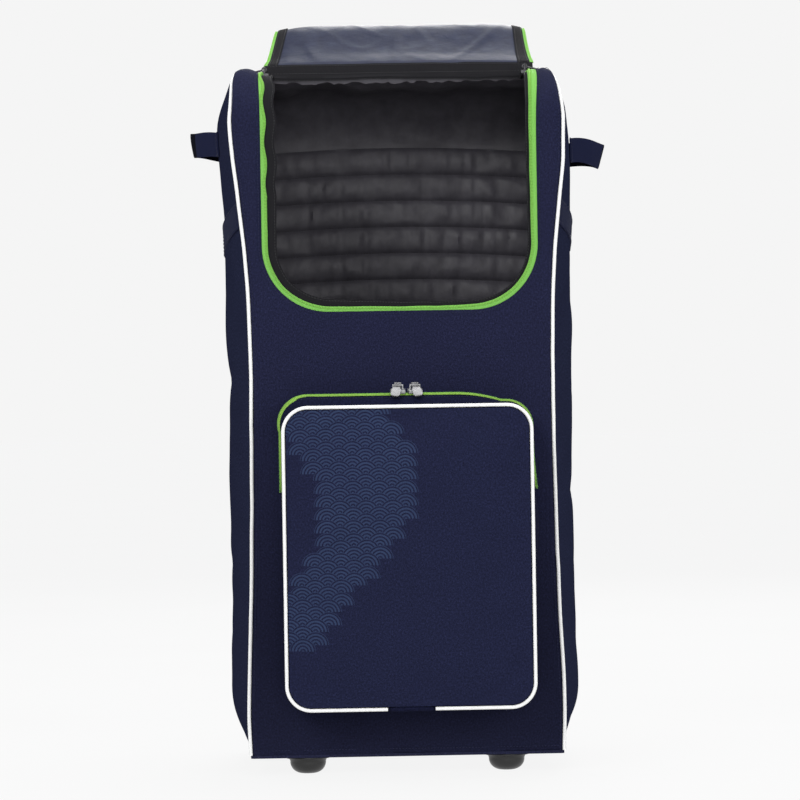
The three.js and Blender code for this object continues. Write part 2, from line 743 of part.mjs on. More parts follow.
// Point of the lid at a width, a run from the hinge and a height above its shell
function lidPoint(x, run, above) {
  const i = Math.min(Math.floor(run / LID_STEP), lidPath.length - 2);
  const share = run / LID_STEP - i;
  const slope = tableValue(LID_ROWS, 'run', 'slope', run / LID_LENGTH);
  const angle = THREE.MathUtils.degToRad(slope);
  const fade = Math.min(run / LID_BINDING_WIDTH / 4, 1);
  const lift = above - LID_DROOP * fade * (Math.abs(x) / LID_HALF_WIDTH) ** 6;
  const y = THREE.MathUtils.lerp(lidPath[i].y, lidPath[i + 1].y, share);
  const z = THREE.MathUtils.lerp(lidPath[i].z, lidPath[i + 1].z, share);
  return new THREE.Vector3(x, y - lift * Math.sin(angle), z + lift * Math.cos(angle));
}

const LID = { half: LID_HALF_WIDTH, corner: OPENING_CORNER, end: LID_LENGTH, turn: -1 };
const LID_STRAIGHT = LID_LENGTH - OPENING_CORNER;
const lidRuns = [
  HINGE_BAND_HEIGHT + FIT,
  ...spread(0.06, 0.36, 3).map((share) => share * LID_LENGTH),
  ...spread(0.36, 0.66, 9).slice(1).map((share) => share * LID_LENGTH),
  THREE.MathUtils.lerp(0.66 * LID_LENGTH, LID_STRAIGHT, 0.5),
];

const lidShares = [-1, -0.86, -0.5, 0, 0.5, 0.86, 1];

// Sheet of the lid, with its side and free edges set in by a distance
function lidSheet(inset, runs, low, wall) {
  const radius = OPENING_CORNER - inset;
  const rows = [
    ...runs.map((along) => ({ along, half: LID_HALF_WIDTH - inset })),
    ...spread(0, Math.PI / 2, LID_CORNER_STEPS).map((angle) => ({
      along: LID_STRAIGHT + radius * Math.sin(angle),
      half: LID_HALF_WIDTH - OPENING_CORNER + radius * Math.cos(angle),
    })),
  ];
  const point = (above) => (i, j) => {
    return lidPoint(lidShares[j] * rows[i].half, rows[i].along, above);
  };
  return wallGeometry(rows.length, lidShares.length, point(low + wall), point(low));
}

// Strip of trim along the lid's edge
function lidStrip(insetOut, insetIn, wall) {
  const steps = edgeSteps(lidRuns, LID_CORNER_STEPS);
  const point = (above) => (i, j) => {
    const { x, along } = edgePoint(LID, steps[i], j === 0 ? insetOut : insetIn);
    return lidPoint(x, along, above);
  };
  return wallGeometry(steps.length, 2, point(wall + 2 * FIT), point(2 * FIT));
}

function makeLid() {
  const shellRuns = [0, HINGE_BAND_START, HINGE_BAND_HEIGHT / 2, ...lidRuns];
  addPiece('lid_shell', lidSheet(0, shellRuns, -LID_SHELL_WALL, LID_SHELL_WALL), 'navy');
  const bindingEdge = LID_ZIP_WIDTH + FIT;
  const skinEdge = bindingEdge + LID_BINDING_WIDTH + FIT;
  addPiece('lid_lining', lidSheet(skinEdge, lidRuns, 2 * FIT, LID_SKIN_WALL), 'lidLining');
  addPiece('lid_zip', lidStrip(0, LID_ZIP_WIDTH, ZIP_WALL), 'green');
  addPiece('lid_binding', lidStrip(bindingEdge, bindingEdge + LID_BINDING_WIDTH, ZIP_WALL), 'binding');
}

// Black band over the hinge: a tail inside the bag, then the first stretch of the lid
function makeHingeBand() {
  const path = [
    { tail: -HINGE_BAND_TAIL },
    { tail: 0 },
    { run: HINGE_BAND_START },
    { run: HINGE_BAND_HEIGHT / 2 },
    { run: HINGE_BAND_HEIGHT },
  ];
  const point = (depth) => (i, j) => {
    const x = lidShares[j] * LID_HALF_WIDTH;
    const { tail, run } = path[i];
    if (run !== undefined) return lidPoint(x, run, 2 * FIT + depth);
    return new THREE.Vector3(x, HINGE_Y - FIT - depth, BAG_HEIGHT + tail);
  };
  addPiece('hinge_band', wallGeometry(path.length, lidShares.length,
    point(HINGE_BAND_WALL), point(0)), 'binding');
}

// Front pocket: its outline is a rounded rectangle, kept as corner centres and directions
const POCKET_MIDDLE = POCKET_BOTTOM + POCKET_HEIGHT / 2;
const POCKET_TOP = POCKET_BOTTOM + POCKET_HEIGHT;
const POCKET_FACE_Y = FRONT_Y - FRONT_CROWN - POCKET_DEPTH;
const pocketFlatX = POCKET_HALF_WIDTH - POCKET_CORNER;
const pocketFlatZ = POCKET_HEIGHT / 2 - POCKET_CORNER;
const POCKET_ARC_STEPS = 4;

function pocketOutline() {
  const steps = [];
  const corner = (sx, sz, from) => {
    spread(from, from + Math.PI / 2, POCKET_ARC_STEPS).forEach((angle) => {
      steps.push({
        x: sx * pocketFlatX, z: sz * pocketFlatZ, nx: Math.cos(angle), nz: Math.sin(angle),
      });
    });
  };
  const edge = (shares, place) => shares.forEach((share) => steps.push(place(share)));
  corner(1, -1, -Math.PI / 2);
  edge([-0.5, 0, 0.3, 0.6], (s) => ({ x: pocketFlatX, z: s * pocketFlatZ, nx: 1, nz: 0 }));
  corner(1, 1, 0);
  edge([0.5, 0, -0.5], (s) => ({ x: s * pocketFlatX, z: pocketFlatZ, nx: 0, nz: 1 }));
  corner(-1, 1, Math.PI / 2);
  edge([0.6, 0.3, 0, -0.5], (s) => ({ x: -pocketFlatX, z: s * pocketFlatZ, nx: -1, nz: 0 }));
  corner(-1, -1, Math.PI);
  return steps;
}

const pocketSteps = pocketOutline();
const POCKET_SEAT_REACH = POCKET_CORNER / 3;

function pocketEdge(step, offset) {
  const reach = POCKET_CORNER + offset;
  return {
    x: POCKET_SHIFT + step.x + step.nx * reach,
    z: POCKET_MIDDLE + step.z + step.nz * reach,
  };
}

// How far the side strip swells outside the face's outline
function pocketSwell(step, puff) {
  const upward = step.nz > 0 ? 0.2 + 0.8 * step.nz : 0.2 + 0.1 * step.nz;
  const level = step.z / pocketFlatZ;
  const bulge = step.nx > 0.9 ? POCKET_SIDE_BULGE * Math.exp(-(((level - 0.25) / 0.35) ** 2)) : 0;
  return puff * (POCKET_PUFF * upward + bulge);
}

function pocketStripPoint(step, section, offset) {
  const { x, z } = pocketEdge(step, pocketSwell(step, section.puff) + offset);
  const place = new THREE.Vector3(x, FRONT_Y - FRONT_CROWN, z);
  const skin = skinAt(frontPanel, place, 1, -1, POCKET_SEAT_REACH) - 2 * FIT;
  return new THREE.Vector3(x, THREE.MathUtils.lerp(POCKET_FACE_Y, skin, section.depth), z);
}

function makePocketGusset() {
  const point = (offset) => (i, j) => pocketStripPoint(pocketSteps[i], POCKET_SECTION[j], offset);
  addPiece('pocket_gusset', wallGeometry(pocketSteps.length, POCKET_SECTION.length,
    point(0), point(-POCKET_GUSSET_WALL), true), 'navyPocket');
}

// Face panel: rows across the pocket, with round corners and a soft crown
function makePocketFace() {
  const inset = -(PIPING_RADIUS + FIT);
  const top = pocketSteps.findIndex((step) => step.nz === 1);
  const rows = pocketSteps.slice(0, top + 1).map((step) => pocketEdge(step, inset));
  const shares = [-1, -0.8, -0.4, 0, 0.4, 0.8, 1];
  const point = (inward) => (i, j) => {
    const x = POCKET_SHIFT + shares[j] * (rows[i].x - POCKET_SHIFT);
    const u = (x - POCKET_SHIFT) / POCKET_HALF_WIDTH;
    const v = (rows[i].z - POCKET_MIDDLE) / (POCKET_HEIGHT / 2);
    const crown = POCKET_CROWN * (1 - u ** 4) * (1 - v ** 4);
    return new THREE.Vector3(x, POCKET_FACE_Y - crown + inward, rows[i].z);
  };
  addPiece('pocket_face', wallGeometry(rows.length, shares.length,
    point(0), point(PANEL_WALL)), 'navyPocket');
}

function makePocketPiping() {
  const y = POCKET_FACE_Y + PIPING_SINK;
  const back = new THREE.Vector3(0, 1, 0);
  const centre = (x, z, nx, nz) => ({
    at: new THREE.Vector3(x, y, z), across: new THREE.Vector3(nx, 0, nz), out: back,
  });
  const round = pocketSteps.map((step) => {
    const { x, z } = pocketEdge(step, 0);
    return centre(x, z, step.nx, step.nz);
  });
  const joint = PIPING_JOINT_WIDTH / 2;
  const bottom = (x) => centre(POCKET_SHIFT + x, POCKET_BOTTOM, 0, -1);
  addPiece('pocket_piping', cordGeometry(
    [bottom(joint + FIT), ...round, bottom(-joint - FIT)], PIPING_RADIUS), 'piping');
  addPiece('pocket_piping_joint', cordGeometry(
    [bottom(-joint), bottom(0), bottom(joint)], PIPING_JOINT_RADIUS), 'navyPocket');
}

// Zip of the pocket, on the swollen strip over the top and partly down the sides
function makePocketZip() {
  const first = pocketSteps.findIndex((step) => step.nx === 1 && step.z > 0.2 * pocketFlatZ);
  const steps = pocketSteps.slice(first, first + 16);
  const sections = [POCKET_SECTION[2], POCKET_SECTION[3]];
  const point = (offset) => (i, j) => pocketStripPoint(steps[i], sections[j], offset);
  addPiece('pocket_zip', wallGeometry(steps.length, 2,
    point(FIT + POCKET_ZIP_WALL), point(FIT)), 'green');
}

// Slider: a body on the zip with a bail over it. X runs along the bail, Z up from the zip.
function sliderGeometry() {
  const body = solidOf(boxAt(SLIDER_LENGTH, SLIDER_WIDTH, SLIDER_THICKNESS,
    0, 0, SLIDER_THICKNESS / 2));
  const waist = solidOf(boxAt(SLIDER_LENGTH / 3, SLIDER_WIDTH, SLIDER_THICKNESS * 3,
    0, 0, 0).rotateZ(Math.PI / 4).translate(SLIDER_LENGTH / 2, SLIDER_WIDTH / 2 + 2, 0));
  const height = BAIL_HEIGHT + SLIDER_THICKNESS / 2;
  const bail = solidOf(boxAt(BAIL_LENGTH, BAIL_WIDTH, height, 0, 0,
    SLIDER_THICKNESS / 2 + height / 2));
  const window = solidOf(boxAt(BAIL_LENGTH - 2 * BAIL_BAR, 2 * BAIL_WIDTH, BAIL_HEIGHT - BAIL_BAR,
    0, 0, SLIDER_THICKNESS + (BAIL_HEIGHT - BAIL_BAR) / 2));
  return geometryOf(body.subtract(waist).add(bail).subtract(window));
}

// Pull: an eye round the bail's bar, and a tab that reaches out along Y
function pullGeometry(splay, drop) {
  const ring = PULL_EYE_RADIUS + PULL_EYE_WALL;
  const eyeWidth = BAIL_LENGTH - 2 * BAIL_BAR - 4 * FIT;
  const eye = solidOf(rodAlongX(ring, eyeWidth, 0, 0, 0, 12));
  const hole = solidOf(rodAlongX(PULL_EYE_RADIUS, BAIL_LENGTH, 0, 0, 0, 12));
  const tab = new THREE.Shape();
  tab.moveTo(-PULL_NECK / 2, PULL_EYE_RADIUS + FIT);
  tab.lineTo(PULL_NECK / 2, PULL_EYE_RADIUS + FIT);
  tab.lineTo(PULL_WIDTH / 2, PULL_LENGTH * 0.45);
  tab.lineTo(PULL_WIDTH / 2, PULL_LENGTH * 0.88);
  tab.lineTo(PULL_WIDTH / 3, PULL_LENGTH);
  tab.lineTo(-PULL_WIDTH / 3, PULL_LENGTH);
  tab.lineTo(-PULL_WIDTH / 2, PULL_LENGTH * 0.88);
  tab.lineTo(-PULL_WIDTH / 2, PULL_LENGTH * 0.45);
  tab.closePath();
  const plate = new THREE.ExtrudeGeometry(tab, { depth: PULL_WALL, bevelEnabled: false });
  plate.translate(0, 0, -PULL_WALL / 2).rotateZ(THREE.MathUtils.degToRad(splay));
  const pull = eye.subtract(hole).add(solidOf(plate).subtract(hole));
  return geometryOf(pull).rotateX(-THREE.MathUtils.degToRad(drop));
}

const BAIL_BAR_HEIGHT = SLIDER_THICKNESS + BAIL_HEIGHT - BAIL_BAR / 2;

// Places a slider with its pull: the pull lies along a direction, the bail stands along a normal
function addSlider(name, colours, at, along, normal, splay, drop) {
  const bar = new THREE.Vector3().crossVectors(along, normal);
  const basis = new THREE.Matrix4().makeBasis(bar, along, normal).setPosition(at);
  addPiece(`${name}_slider`, sliderGeometry().applyMatrix4(basis), colours);
  const pull = pullGeometry(splay, drop).translate(0, 0, BAIL_BAR_HEIGHT);
  addPiece(`${name}_pull`, pull.applyMatrix4(basis), colours);
}

function makeSliders() {
  const [front, rear] = [POCKET_SECTION[2], POCKET_SECTION[3]];
  const crest = pocketSteps.find((step) => step.nz === 1);
  const lift = POCKET_ZIP_WALL + 4 * FIT;
  const a = pocketStripPoint(crest, front, lift);
  const b = pocketStripPoint(crest, rear, lift);
  const along = new THREE.Vector3(0, a.y - b.y, a.z - b.z).normalize();
  const normal = new THREE.Vector3(0, along.z, -along.y);
  SIDES.forEach(({ name, side }) => {
    const x = POCKET_SHIFT + (side * POCKET_SLIDER_SPACING) / 2;
    const at = new THREE.Vector3(x, (a.y + b.y) / 2, (a.z + b.z) / 2);
    addSlider(`pocket_${name}`, 'nickel', at, along, normal, side * PULL_SPLAY, POCKET_PULL_DROP);
  });
  const up = new THREE.Vector3(0, 0, 1);
  SIDES.forEach(({ name, side }) => {
    const x = side * (OPENING_HALF_WIDTH - ZIP_WIDTH / 2);
    const run = HINGE_RUN - SLIDER_LENGTH / 2 - HINGE_BAND_WALL - 2 * FIT;
    const at = shellPoint(x, run, -ZIP_COIL - FIT);
    const outward = new THREE.Vector3(side, 0, 0);
    addSlider(`main_${name}`, 'darkMetal', at, outward, up, 0, MAIN_PULL_DROP);
  });
}

// Carrying loop of webbing on each side wall
function makeLoop({ name, side }, gusset) {
  const levels = [-0.5, 0, 0.5];
  const place = (i, level) => {
    const { span, reach } = LOOP_ROWS[i];
    const y = span * LOOP_SPAN;
    const z = LOOP_HEIGHT + level * WEBBING_WIDTH - reach * LOOP_SAG;
    const skin = gussetSkin(gusset, side, y, z, WEBBING_WIDTH / 16);
    return new THREE.Vector3(skin + side * (FIT + reach * LOOP_REACH), y, z);
  };
  const point = (thickness) => (i, j) => {
    const at = place(i, levels[j]);
    const before = place(Math.max(i - 1, 0), levels[j]);
    const after = place(Math.min(i + 1, LOOP_ROWS.length - 1), levels[j]);
    const along = after.sub(before).setZ(0).normalize();
    const out = new THREE.Vector3(side * along.y, -side * along.x, 0);
    return at.addScaledVector(out, thickness);
  };
  addPiece(`side_loop_${name}`, wallGeometry(LOOP_ROWS.length, levels.length,
    point(WEBBING_WALL), point(0)), 'webbing');
}

// Slanting webbing tab sewn flat on each side wall
function makeTab({ name, side }, gusset) {
  const steps = spread(0, 1, 6);
  const levels = [-1, -0.5, 0];
  const start = gussetPoint(1, 0, 0).y + PANEL_WALL;
  const point = (thickness) => (i, j) => {
    const y = start + steps[i] * TAB_LENGTH;
    const z = TAB_TOP - steps[i] * TAB_DROP + levels[j] * WEBBING_WIDTH;
    const skin = gussetSkin(gusset, side, y, z, TAB_LENGTH / 14);
    return new THREE.Vector3(skin + side * (2 * FIT + thickness), y, z);
  };
  addPiece(`side_tab_${name}`, wallGeometry(steps.length, levels.length,
    point(WEBBING_WALL), point(0)), 'webbing');
}

// Domed plastic foot with a screw in its middle, under each front corner
function latheAt(points, x, y, z, segments) {
  const profile = points.map(([radius, height]) => new THREE.Vector2(radius, height)).reverse();
  return new THREE.LatheGeometry(profile, segments).rotateX(Math.PI / 2).translate(x, y, z);
}

function makeFoot({ name, side }) {
  const x = side * FOOT_REACH;
  const y = FRONT_Y + FOOT_SETBACK;
  const recess = SCREW_RADIUS + FIT;
  const seat = -FOOT_HEIGHT + SCREW_HEIGHT + 3 * FIT;
  const dome = spread(0, Math.PI / 2, 3).map((angle) => [
    FOOT_FLAT_RADIUS + (FOOT_RADIUS - FOOT_FLAT_RADIUS) * Math.cos(angle),
    -FOOT_HEIGHT * (0.4 + 0.6 * Math.sin(angle)),
  ]);
  addPiece(`foot_${name}`, latheAt([
    [0, -FIT],
    [FOOT_FLANGE_RADIUS, -FIT],
    [FOOT_FLANGE_RADIUS, -FIT - FOOT_FLANGE_WALL],
    [FOOT_RADIUS, -FOOT_HEIGHT * 0.25],
    ...dome,
    [recess, -FOOT_HEIGHT],
    [recess, seat],
    [0, seat],
  ], x, y, 0, 16), 'plastic');
  addPiece(`foot_screw_${name}`, latheAt([
    [0, seat - FIT],
    [SCREW_RADIUS, seat - FIT],
    [SCREW_RADIUS, seat - FIT - SCREW_HEIGHT * 0.6],
    [SCREW_RADIUS * 0.7, seat - FIT - SCREW_HEIGHT],
    [0, seat - FIT - SCREW_HEIGHT],
  ], x, y, 0, 12), 'steel');
}

// Rear wheels: each turns on an axle in a moulded housing let into the corner
const WHEEL_Y = BACK_Y - WHEEL_SETBACK;
const WHEEL_Z = WHEEL_RADIUS - FOOT_HEIGHT;
const HOUSING_HALF = WHEEL_WIDTH / 2 + HUB_RADIUS / 2 + HOUSING_WALL;
const WELL_RADIUS = WHEEL_RADIUS + HOUSING_GAP;

// Arch in the YZ plane: round over the wheel, straight down to a level
function archOutline(radius, low, back) {
  const outline = new THREE.Shape();
  outline.moveTo(WHEEL_Y - radius, low);
  outline.lineTo(WHEEL_Y - radius, WHEEL_Z);
  const reach = Math.min((back - WHEEL_Y) / radius, 1);
  const last = Math.acos(reach);
  spread(Math.PI, last, 9).slice(1).forEach((angle) => {
    outline.lineTo(WHEEL_Y + radius * Math.cos(angle), WHEEL_Z + radius * Math.sin(angle));
  });
  outline.lineTo(WHEEL_Y + radius * reach, low);
  outline.closePath();
  return outline;
}

// Cuts the corners of a panel for both wheel housings
function wheelCuts(panel) {
  let cut = panel;
  SIDES.forEach(({ side }) => {
    const outline = archOutline(WELL_RADIUS + HOUSING_WALL + 2 * FIT, -BAG_DEPTH, 2 * BACK_Y);
    const width = 2 * (HOUSING_HALF + 2 * FIT);
    cut = cut.subtract(solidOf(prismAlongX(outline, width, side * WHEEL_REACH)));
  });
  return cut;
}

function makeWheel({ name, side }) {
  const x = side * WHEEL_REACH;
  const wallGap = HOUSING_HALF - HOUSING_WALL;
  const outer = archOutline(WELL_RADIUS + HOUSING_WALL, 0, BACK_Y + PANEL_WALL);
  const well = archOutline(WELL_RADIUS, -HOUSING_WALL, 2 * BACK_Y);
  const bore = rodAlongX(AXLE_RADIUS + FIT, 3 * HOUSING_HALF, x, WHEEL_Y, WHEEL_Z, 12);
  const housing = solidOf(prismAlongX(outer, 2 * HOUSING_HALF, x))
    .subtract(solidOf(prismAlongX(well, 2 * wallGap, x)))
    .subtract(solidOf(bore));
  addPiece(`wheel_housing_${name}`, geometryOf(housing), 'plastic');
  const half = WHEEL_WIDTH / 2;
  const hub = wallGap - HUB_GAP;
  const wheel = new THREE.LatheGeometry([
    [AXLE_RADIUS + FIT, -hub],
    [HUB_RADIUS, -hub],
    [HUB_RADIUS, -half],
    [WHEEL_RADIUS - WHEEL_CHAMFER, -half],
    [WHEEL_RADIUS, -half + WHEEL_CHAMFER],
    [WHEEL_RADIUS, half - WHEEL_CHAMFER],
    [WHEEL_RADIUS - WHEEL_CHAMFER, half],
    [HUB_RADIUS, half],
    [HUB_RADIUS, hub],
    [AXLE_RADIUS + FIT, hub],
    [AXLE_RADIUS + FIT, -hub],
  ].map(([radius, height]) => new THREE.Vector2(radius, height)), 20);
  wheel.rotateZ(Math.PI / 2).translate(x, WHEEL_Y, WHEEL_Z);
  addPiece(`wheel_${name}`, wheel, 'wheel');
  const axle = rodAlongX(AXLE_RADIUS, 2 * HOUSING_HALF, x, WHEEL_Y, WHEEL_Z, 12);
  addPiece(`wheel_axle_${name}`, axle, 'steel');
}

const frontPanel = makeFrontPanel();
makeTopAndBack();
makeBase();
makeOpeningTrim();
makeBackLining();
makeHingeBand();
makeLid();
makePocketGusset();
makePocketFace();
makePocketPiping();
makePocketZip();
makeSliders();
SIDES.forEach((one) => {
  const gusset = makeGusset(one);
  makePiping(one);
  makeLoop(one, gusset);
  makeTab(one, gusset);
  makeFoot(one);
  makeWheel(one);
});

// The origin is the middle of the whole bag's footprint, on the floor
const reach = new THREE.Box3().setFromObject(bag);
bag.position.set(-(reach.min.x + reach.max.x) / 2, -(reach.min.y + reach.max.y) / 2, -reach.min.z);

export default bag;
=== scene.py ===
"""Looks of the wheeled kit bag: cloth, cords, zips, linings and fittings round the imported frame."""

import math

import bmesh
import bpy
import numpy as np
from mathutils import Matrix, Vector


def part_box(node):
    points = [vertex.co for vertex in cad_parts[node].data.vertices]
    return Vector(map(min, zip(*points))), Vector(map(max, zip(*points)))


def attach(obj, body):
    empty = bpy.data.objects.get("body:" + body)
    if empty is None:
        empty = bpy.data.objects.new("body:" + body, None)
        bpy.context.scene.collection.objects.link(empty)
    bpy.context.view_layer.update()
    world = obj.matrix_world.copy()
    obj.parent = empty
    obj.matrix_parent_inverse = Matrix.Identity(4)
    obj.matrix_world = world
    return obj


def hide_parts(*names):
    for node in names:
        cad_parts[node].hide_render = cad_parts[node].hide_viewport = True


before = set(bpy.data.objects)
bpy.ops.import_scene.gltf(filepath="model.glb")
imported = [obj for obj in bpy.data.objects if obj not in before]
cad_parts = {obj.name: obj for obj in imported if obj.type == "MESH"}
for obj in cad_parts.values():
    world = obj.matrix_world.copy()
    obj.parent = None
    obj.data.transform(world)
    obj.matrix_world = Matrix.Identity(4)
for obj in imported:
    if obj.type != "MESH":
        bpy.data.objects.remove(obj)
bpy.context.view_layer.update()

# Sizes in millimetres, as the part's source names them
MM = 0.001
FIT = 0.3
BAG_HEIGHT = 882.0
BAG_DEPTH = 330.0
BAG_HALF_WIDTH = 212.0
SHOULDER_RADIUS = 70.0
BACK_RADIUS = 80.0
PANEL_WALL = 3.0
LOW_RUN = 4.3
FRONT_CROWN = 8.0
BACK_CROWN = 8.0
SHOULDER_PUFF = 4.0
GUSSET_BULGE = 32.0
GUSSET_END_RISE = 80.0
PIPING_RADIUS = 3.0
PIPING_SINK = 1.5
CORD_RADIUS = 2.3
SEAM_INSET = PIPING_RADIUS + FIT
GUSSET_INSET = PIPING_SINK + PIPING_RADIUS + FIT
OPENING_HALF_WIDTH = 177.0
OPENING_BOTTOM = 570.0
OPENING_CORNER = 85.0
HINGE_SETBACK = 140.0
ZIP_WIDTH = 11.0
BINDING_WIDTH = 13.0
QUILT_PITCH = 36.0
QUILT_CHANNELS = 8
QUILT_PAD = 8.0
QUILT_SEAM_WALL = 2.5
QUILT_ARCH = 8.0
LINING_SIDE_GAP = 5.0
LINING_HEM = 60.0
LID_HALF_WIDTH = OPENING_HALF_WIDTH - 1.0
LID_SHELL_WALL = 3.0
LID_ZIP_WIDTH = 3.0
LID_BINDING_WIDTH = 13.0
LID_DROOP = 9.0
LID_SHIFT = 12.5
LID_TAPER = 0.043
HINGE_BAND_WALL = 1.6
HINGE_BAND_HEIGHT = 18.0
HINGE_BAND_TAIL = 3.0
POCKET_HALF_WIDTH = 157.0
POCKET_HEIGHT = 382.0
POCKET_BOTTOM = 66.0
POCKET_SHIFT = 4.0
POCKET_DEPTH = 60.0
POCKET_CORNER = 31.0
POCKET_PUFF = 16.0
POCKET_CROWN = 10.0
POCKET_SIDE_BULGE = 6.0
PIPING_JOINT_WIDTH = 54.0
WEBBING_WIDTH = 32.0
WEBBING_WALL = 2.0
LOOP_HEIGHT = 787.0
LOOP_SPAN = 110.0
LOOP_LEAN = 7.0
# By side: the steps of a loop's span that get painted shade, a dark finish for the shaded fold at its
# outer end
LOOP_PAINTED_SHADE_STEPS = {-1: (38, 50), 1: (44, 47)}
# By side: a loop's reach, how much longer its top is, its sag and its arch
LOOP_BENDS = {-1: (33.5, 2.2, -3.0, 4.0), 1: (42.5, 9.0, 5.0, 14.0)}
TAB_TOP = 712.0
TAB_DROP = 32.0
TAB_LENGTH = 150.0
FOOT_RADIUS = 23.0
FOOT_FLANGE_RADIUS = 29.0
FOOT_FLAT_RADIUS = 7.5
FOOT_HEIGHT = 22.0
FOOT_SPACING = 256.0
FOOT_SETBACK = 30.0
WHEEL_RADIUS = 30.0
WHEEL_SPACING = 300.0
WHEEL_SETBACK = 18.0
WHEEL_HALF_WIDTH = 15.0
WHEEL_HUB_HALF = 19.0
WHEEL_BORE = 4.3
CORD_SIDES = 14
CLOTH_FRAMES = 20
# Painted shade on the navy cloth: the height on its map where it stops, and the height over which it
# deepens, in metres
PAINTED_SHADE_TOP = 0.42
PAINTED_SHADE_FADE = 0.22
CAMERA_LENS = 158.2
CAMERA_DISTANCE = 4.5
CAMERA_HEIGHT = 456.0
CAMERA_ROLL = -0.92
FLOOR_GLOW = 0.885
BACKDROP = 0.913
AIR_LIGHT = 0.45

# Tables of shares. The first column is the station of the side profile, from 0 at the front's foot
# over the shoulder (1 to 2) and the back edge (3 to 4) to 5 at the back's foot.
SEAM_ROWS = [
    (0.0, 0.948), (0.09, 0.953), (0.25, 0.93), (0.4, 0.919), (0.56, 0.912), (0.7, 0.919),
    (0.8, 0.939), (0.88, 0.971), (0.95, 0.996), (1.1, 1.0), (1.5, 0.982), (2.0, 0.94),
    (3.0, 0.925), (4.0, 0.935), (4.5, 0.93), (5.0, 0.948),
]
CROWN_ROWS = [
    (0.0, 0.0), (0.15, 0.8), (0.5, 1.0), (0.75, 0.8), (1.0, 0.4), (1.5, 0.2), (2.0, 0.0),
    (2.4, 0.0), (2.7, 0.0), (3.0, 0.0), (4.0, 0.5), (4.5, 1.0), (5.0, 0.0),
]
PUFF_ROWS = [
    (0.0, 0.0), (0.5, 0.0), (0.75, 0.2), (1.0, 0.8), (1.5, 1.0), (2.0, 0.9), (2.4, 0.6),
    (2.7, 0.0), (3.0, 0.0), (5.0, 0.0),
]
BULGE_ROWS = {
    -1: [(0.0, 0.8), (0.25, 0.84), (0.5, 0.93), (0.64, 0.86), (0.75, 0.86), (0.93, 0.78),
         (1.0, 0.84), (1.2, 0.9), (2.0, 0.85)],
    1: [(0.0, 0.8), (0.25, 0.84), (0.5, 0.95), (0.75, 0.96), (0.88, 0.82), (0.965, 0.7),
        (1.05, 0.55), (1.23, 0.58), (1.5, 0.6), (2.0, 0.7)],
}
# Where the bag stands off its even form: place, reach and shift
LEAN_ROWS = [
    # x, z, reach in x, reach in z, shift in x, shift in z
    (-206.0, 884.0, 17.0, 34.0, -8.0, 4.0),
    (-214.0, 812.0, 18.0, 48.0, -4.0, 0.0),
    (180.0, 884.0, 14.0, 42.0, 5.0, 1.5),
    (-184.0, 884.0, 14.0, 34.0, -2.0, 2.0),
]
# How deep the side cords sink behind the cloth
DIP_ROWS = [(0.0, 0.0), (1.0, 0.0), (1.25, 0.5), (1.5, 1.0), (2.4, 1.0), (3.0, 0.0), (5.0, 0.0)]
# Widths of the opening's tape and of its binding, along its edge from the left hinge to the right
TAPE_ROWS = [(0.0, 0.3), (0.2, 0.62), (0.4, 0.72), (0.5, 0.5), (0.6, 0.75), (0.8, 0.85), (1.0, 0.8)]
BINDING_ROWS = [(0.0, 1.0), (0.2, 1.0), (0.4, 0.8), (0.5, 0.5), (0.6, 0.35), (0.8, 0.3), (1.0, 0.3)]
# Folds of the slack lining, from its left side (-1) to its right (1)
FOLD_ROWS = [
    (-1.0, 0.1), (-0.78, 0.9), (-0.5, 0.2), (-0.28, 0.8), (0.0, 0.3), (0.3, 1.0), (0.5, 0.2),
    (0.76, 0.7), (1.0, 0.1),
]
# The lid's slope in degrees, along its length from the hinge
LID_ROWS = [
    (0.0, 66.0), (0.035, 60.0), (0.06, 26.2), (0.36, 22.6), (0.66, -88.0), (0.7, -91.0),
    (1.0, -91.0),
]
# The pocket strip's swell, from the face to the bag
POCKET_SECTION = [(0.0, 0.0), (0.08, 0.06), (0.16, 0.52), (0.26, 0.8), (0.44, 0.96), (1.0, 1.0)]
# How far a loop stands out, along its span
LOOP_ROWS = [
    (-0.66, 0.0), (-0.52, 0.0), (-0.44, 0.14), (-0.28, 0.52), (-0.1, 0.9), (-0.035, 1.0),
    (0.035, 1.0), (0.12, 0.88), (0.32, 0.5), (0.46, 0.14), (0.54, 0.0), (0.68, 0.0),
]

FRONT_Y = -BAG_DEPTH / 2
BACK_Y = BAG_DEPTH / 2
SIDES = (("left", -1), ("right", 1))
SHIFT = np.array([0.0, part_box("bottom_panel")[0].y / MM - FRONT_Y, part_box("bottom_panel")[0].z / MM])


# Number helpers

def ease(rows, at):
    """Smooth value between a table's rows."""
    keys, values = np.array(rows, float).T
    slopes = np.empty_like(values)
    slopes[1:-1] = (values[2:] - values[:-2]) / (keys[2:] - keys[:-2])
    slopes[0] = (values[1] - values[0]) / (keys[1] - keys[0])
    slopes[-1] = (values[-1] - values[-2]) / (keys[-1] - keys[-2])
    at = np.asarray(at, float)
    i = np.clip(np.searchsorted(keys, at, side="right") - 1, 0, len(keys) - 2)
    width = keys[i + 1] - keys[i]
    t = np.clip((at - keys[i]) / width, 0, 1)
    rise = values[i + 1] - values[i]
    bend = (1 - t) * (slopes[i] * width - rise) - t * (slopes[i + 1] * width - rise)
    return values[i] + t * rise + t * (1 - t) * bend


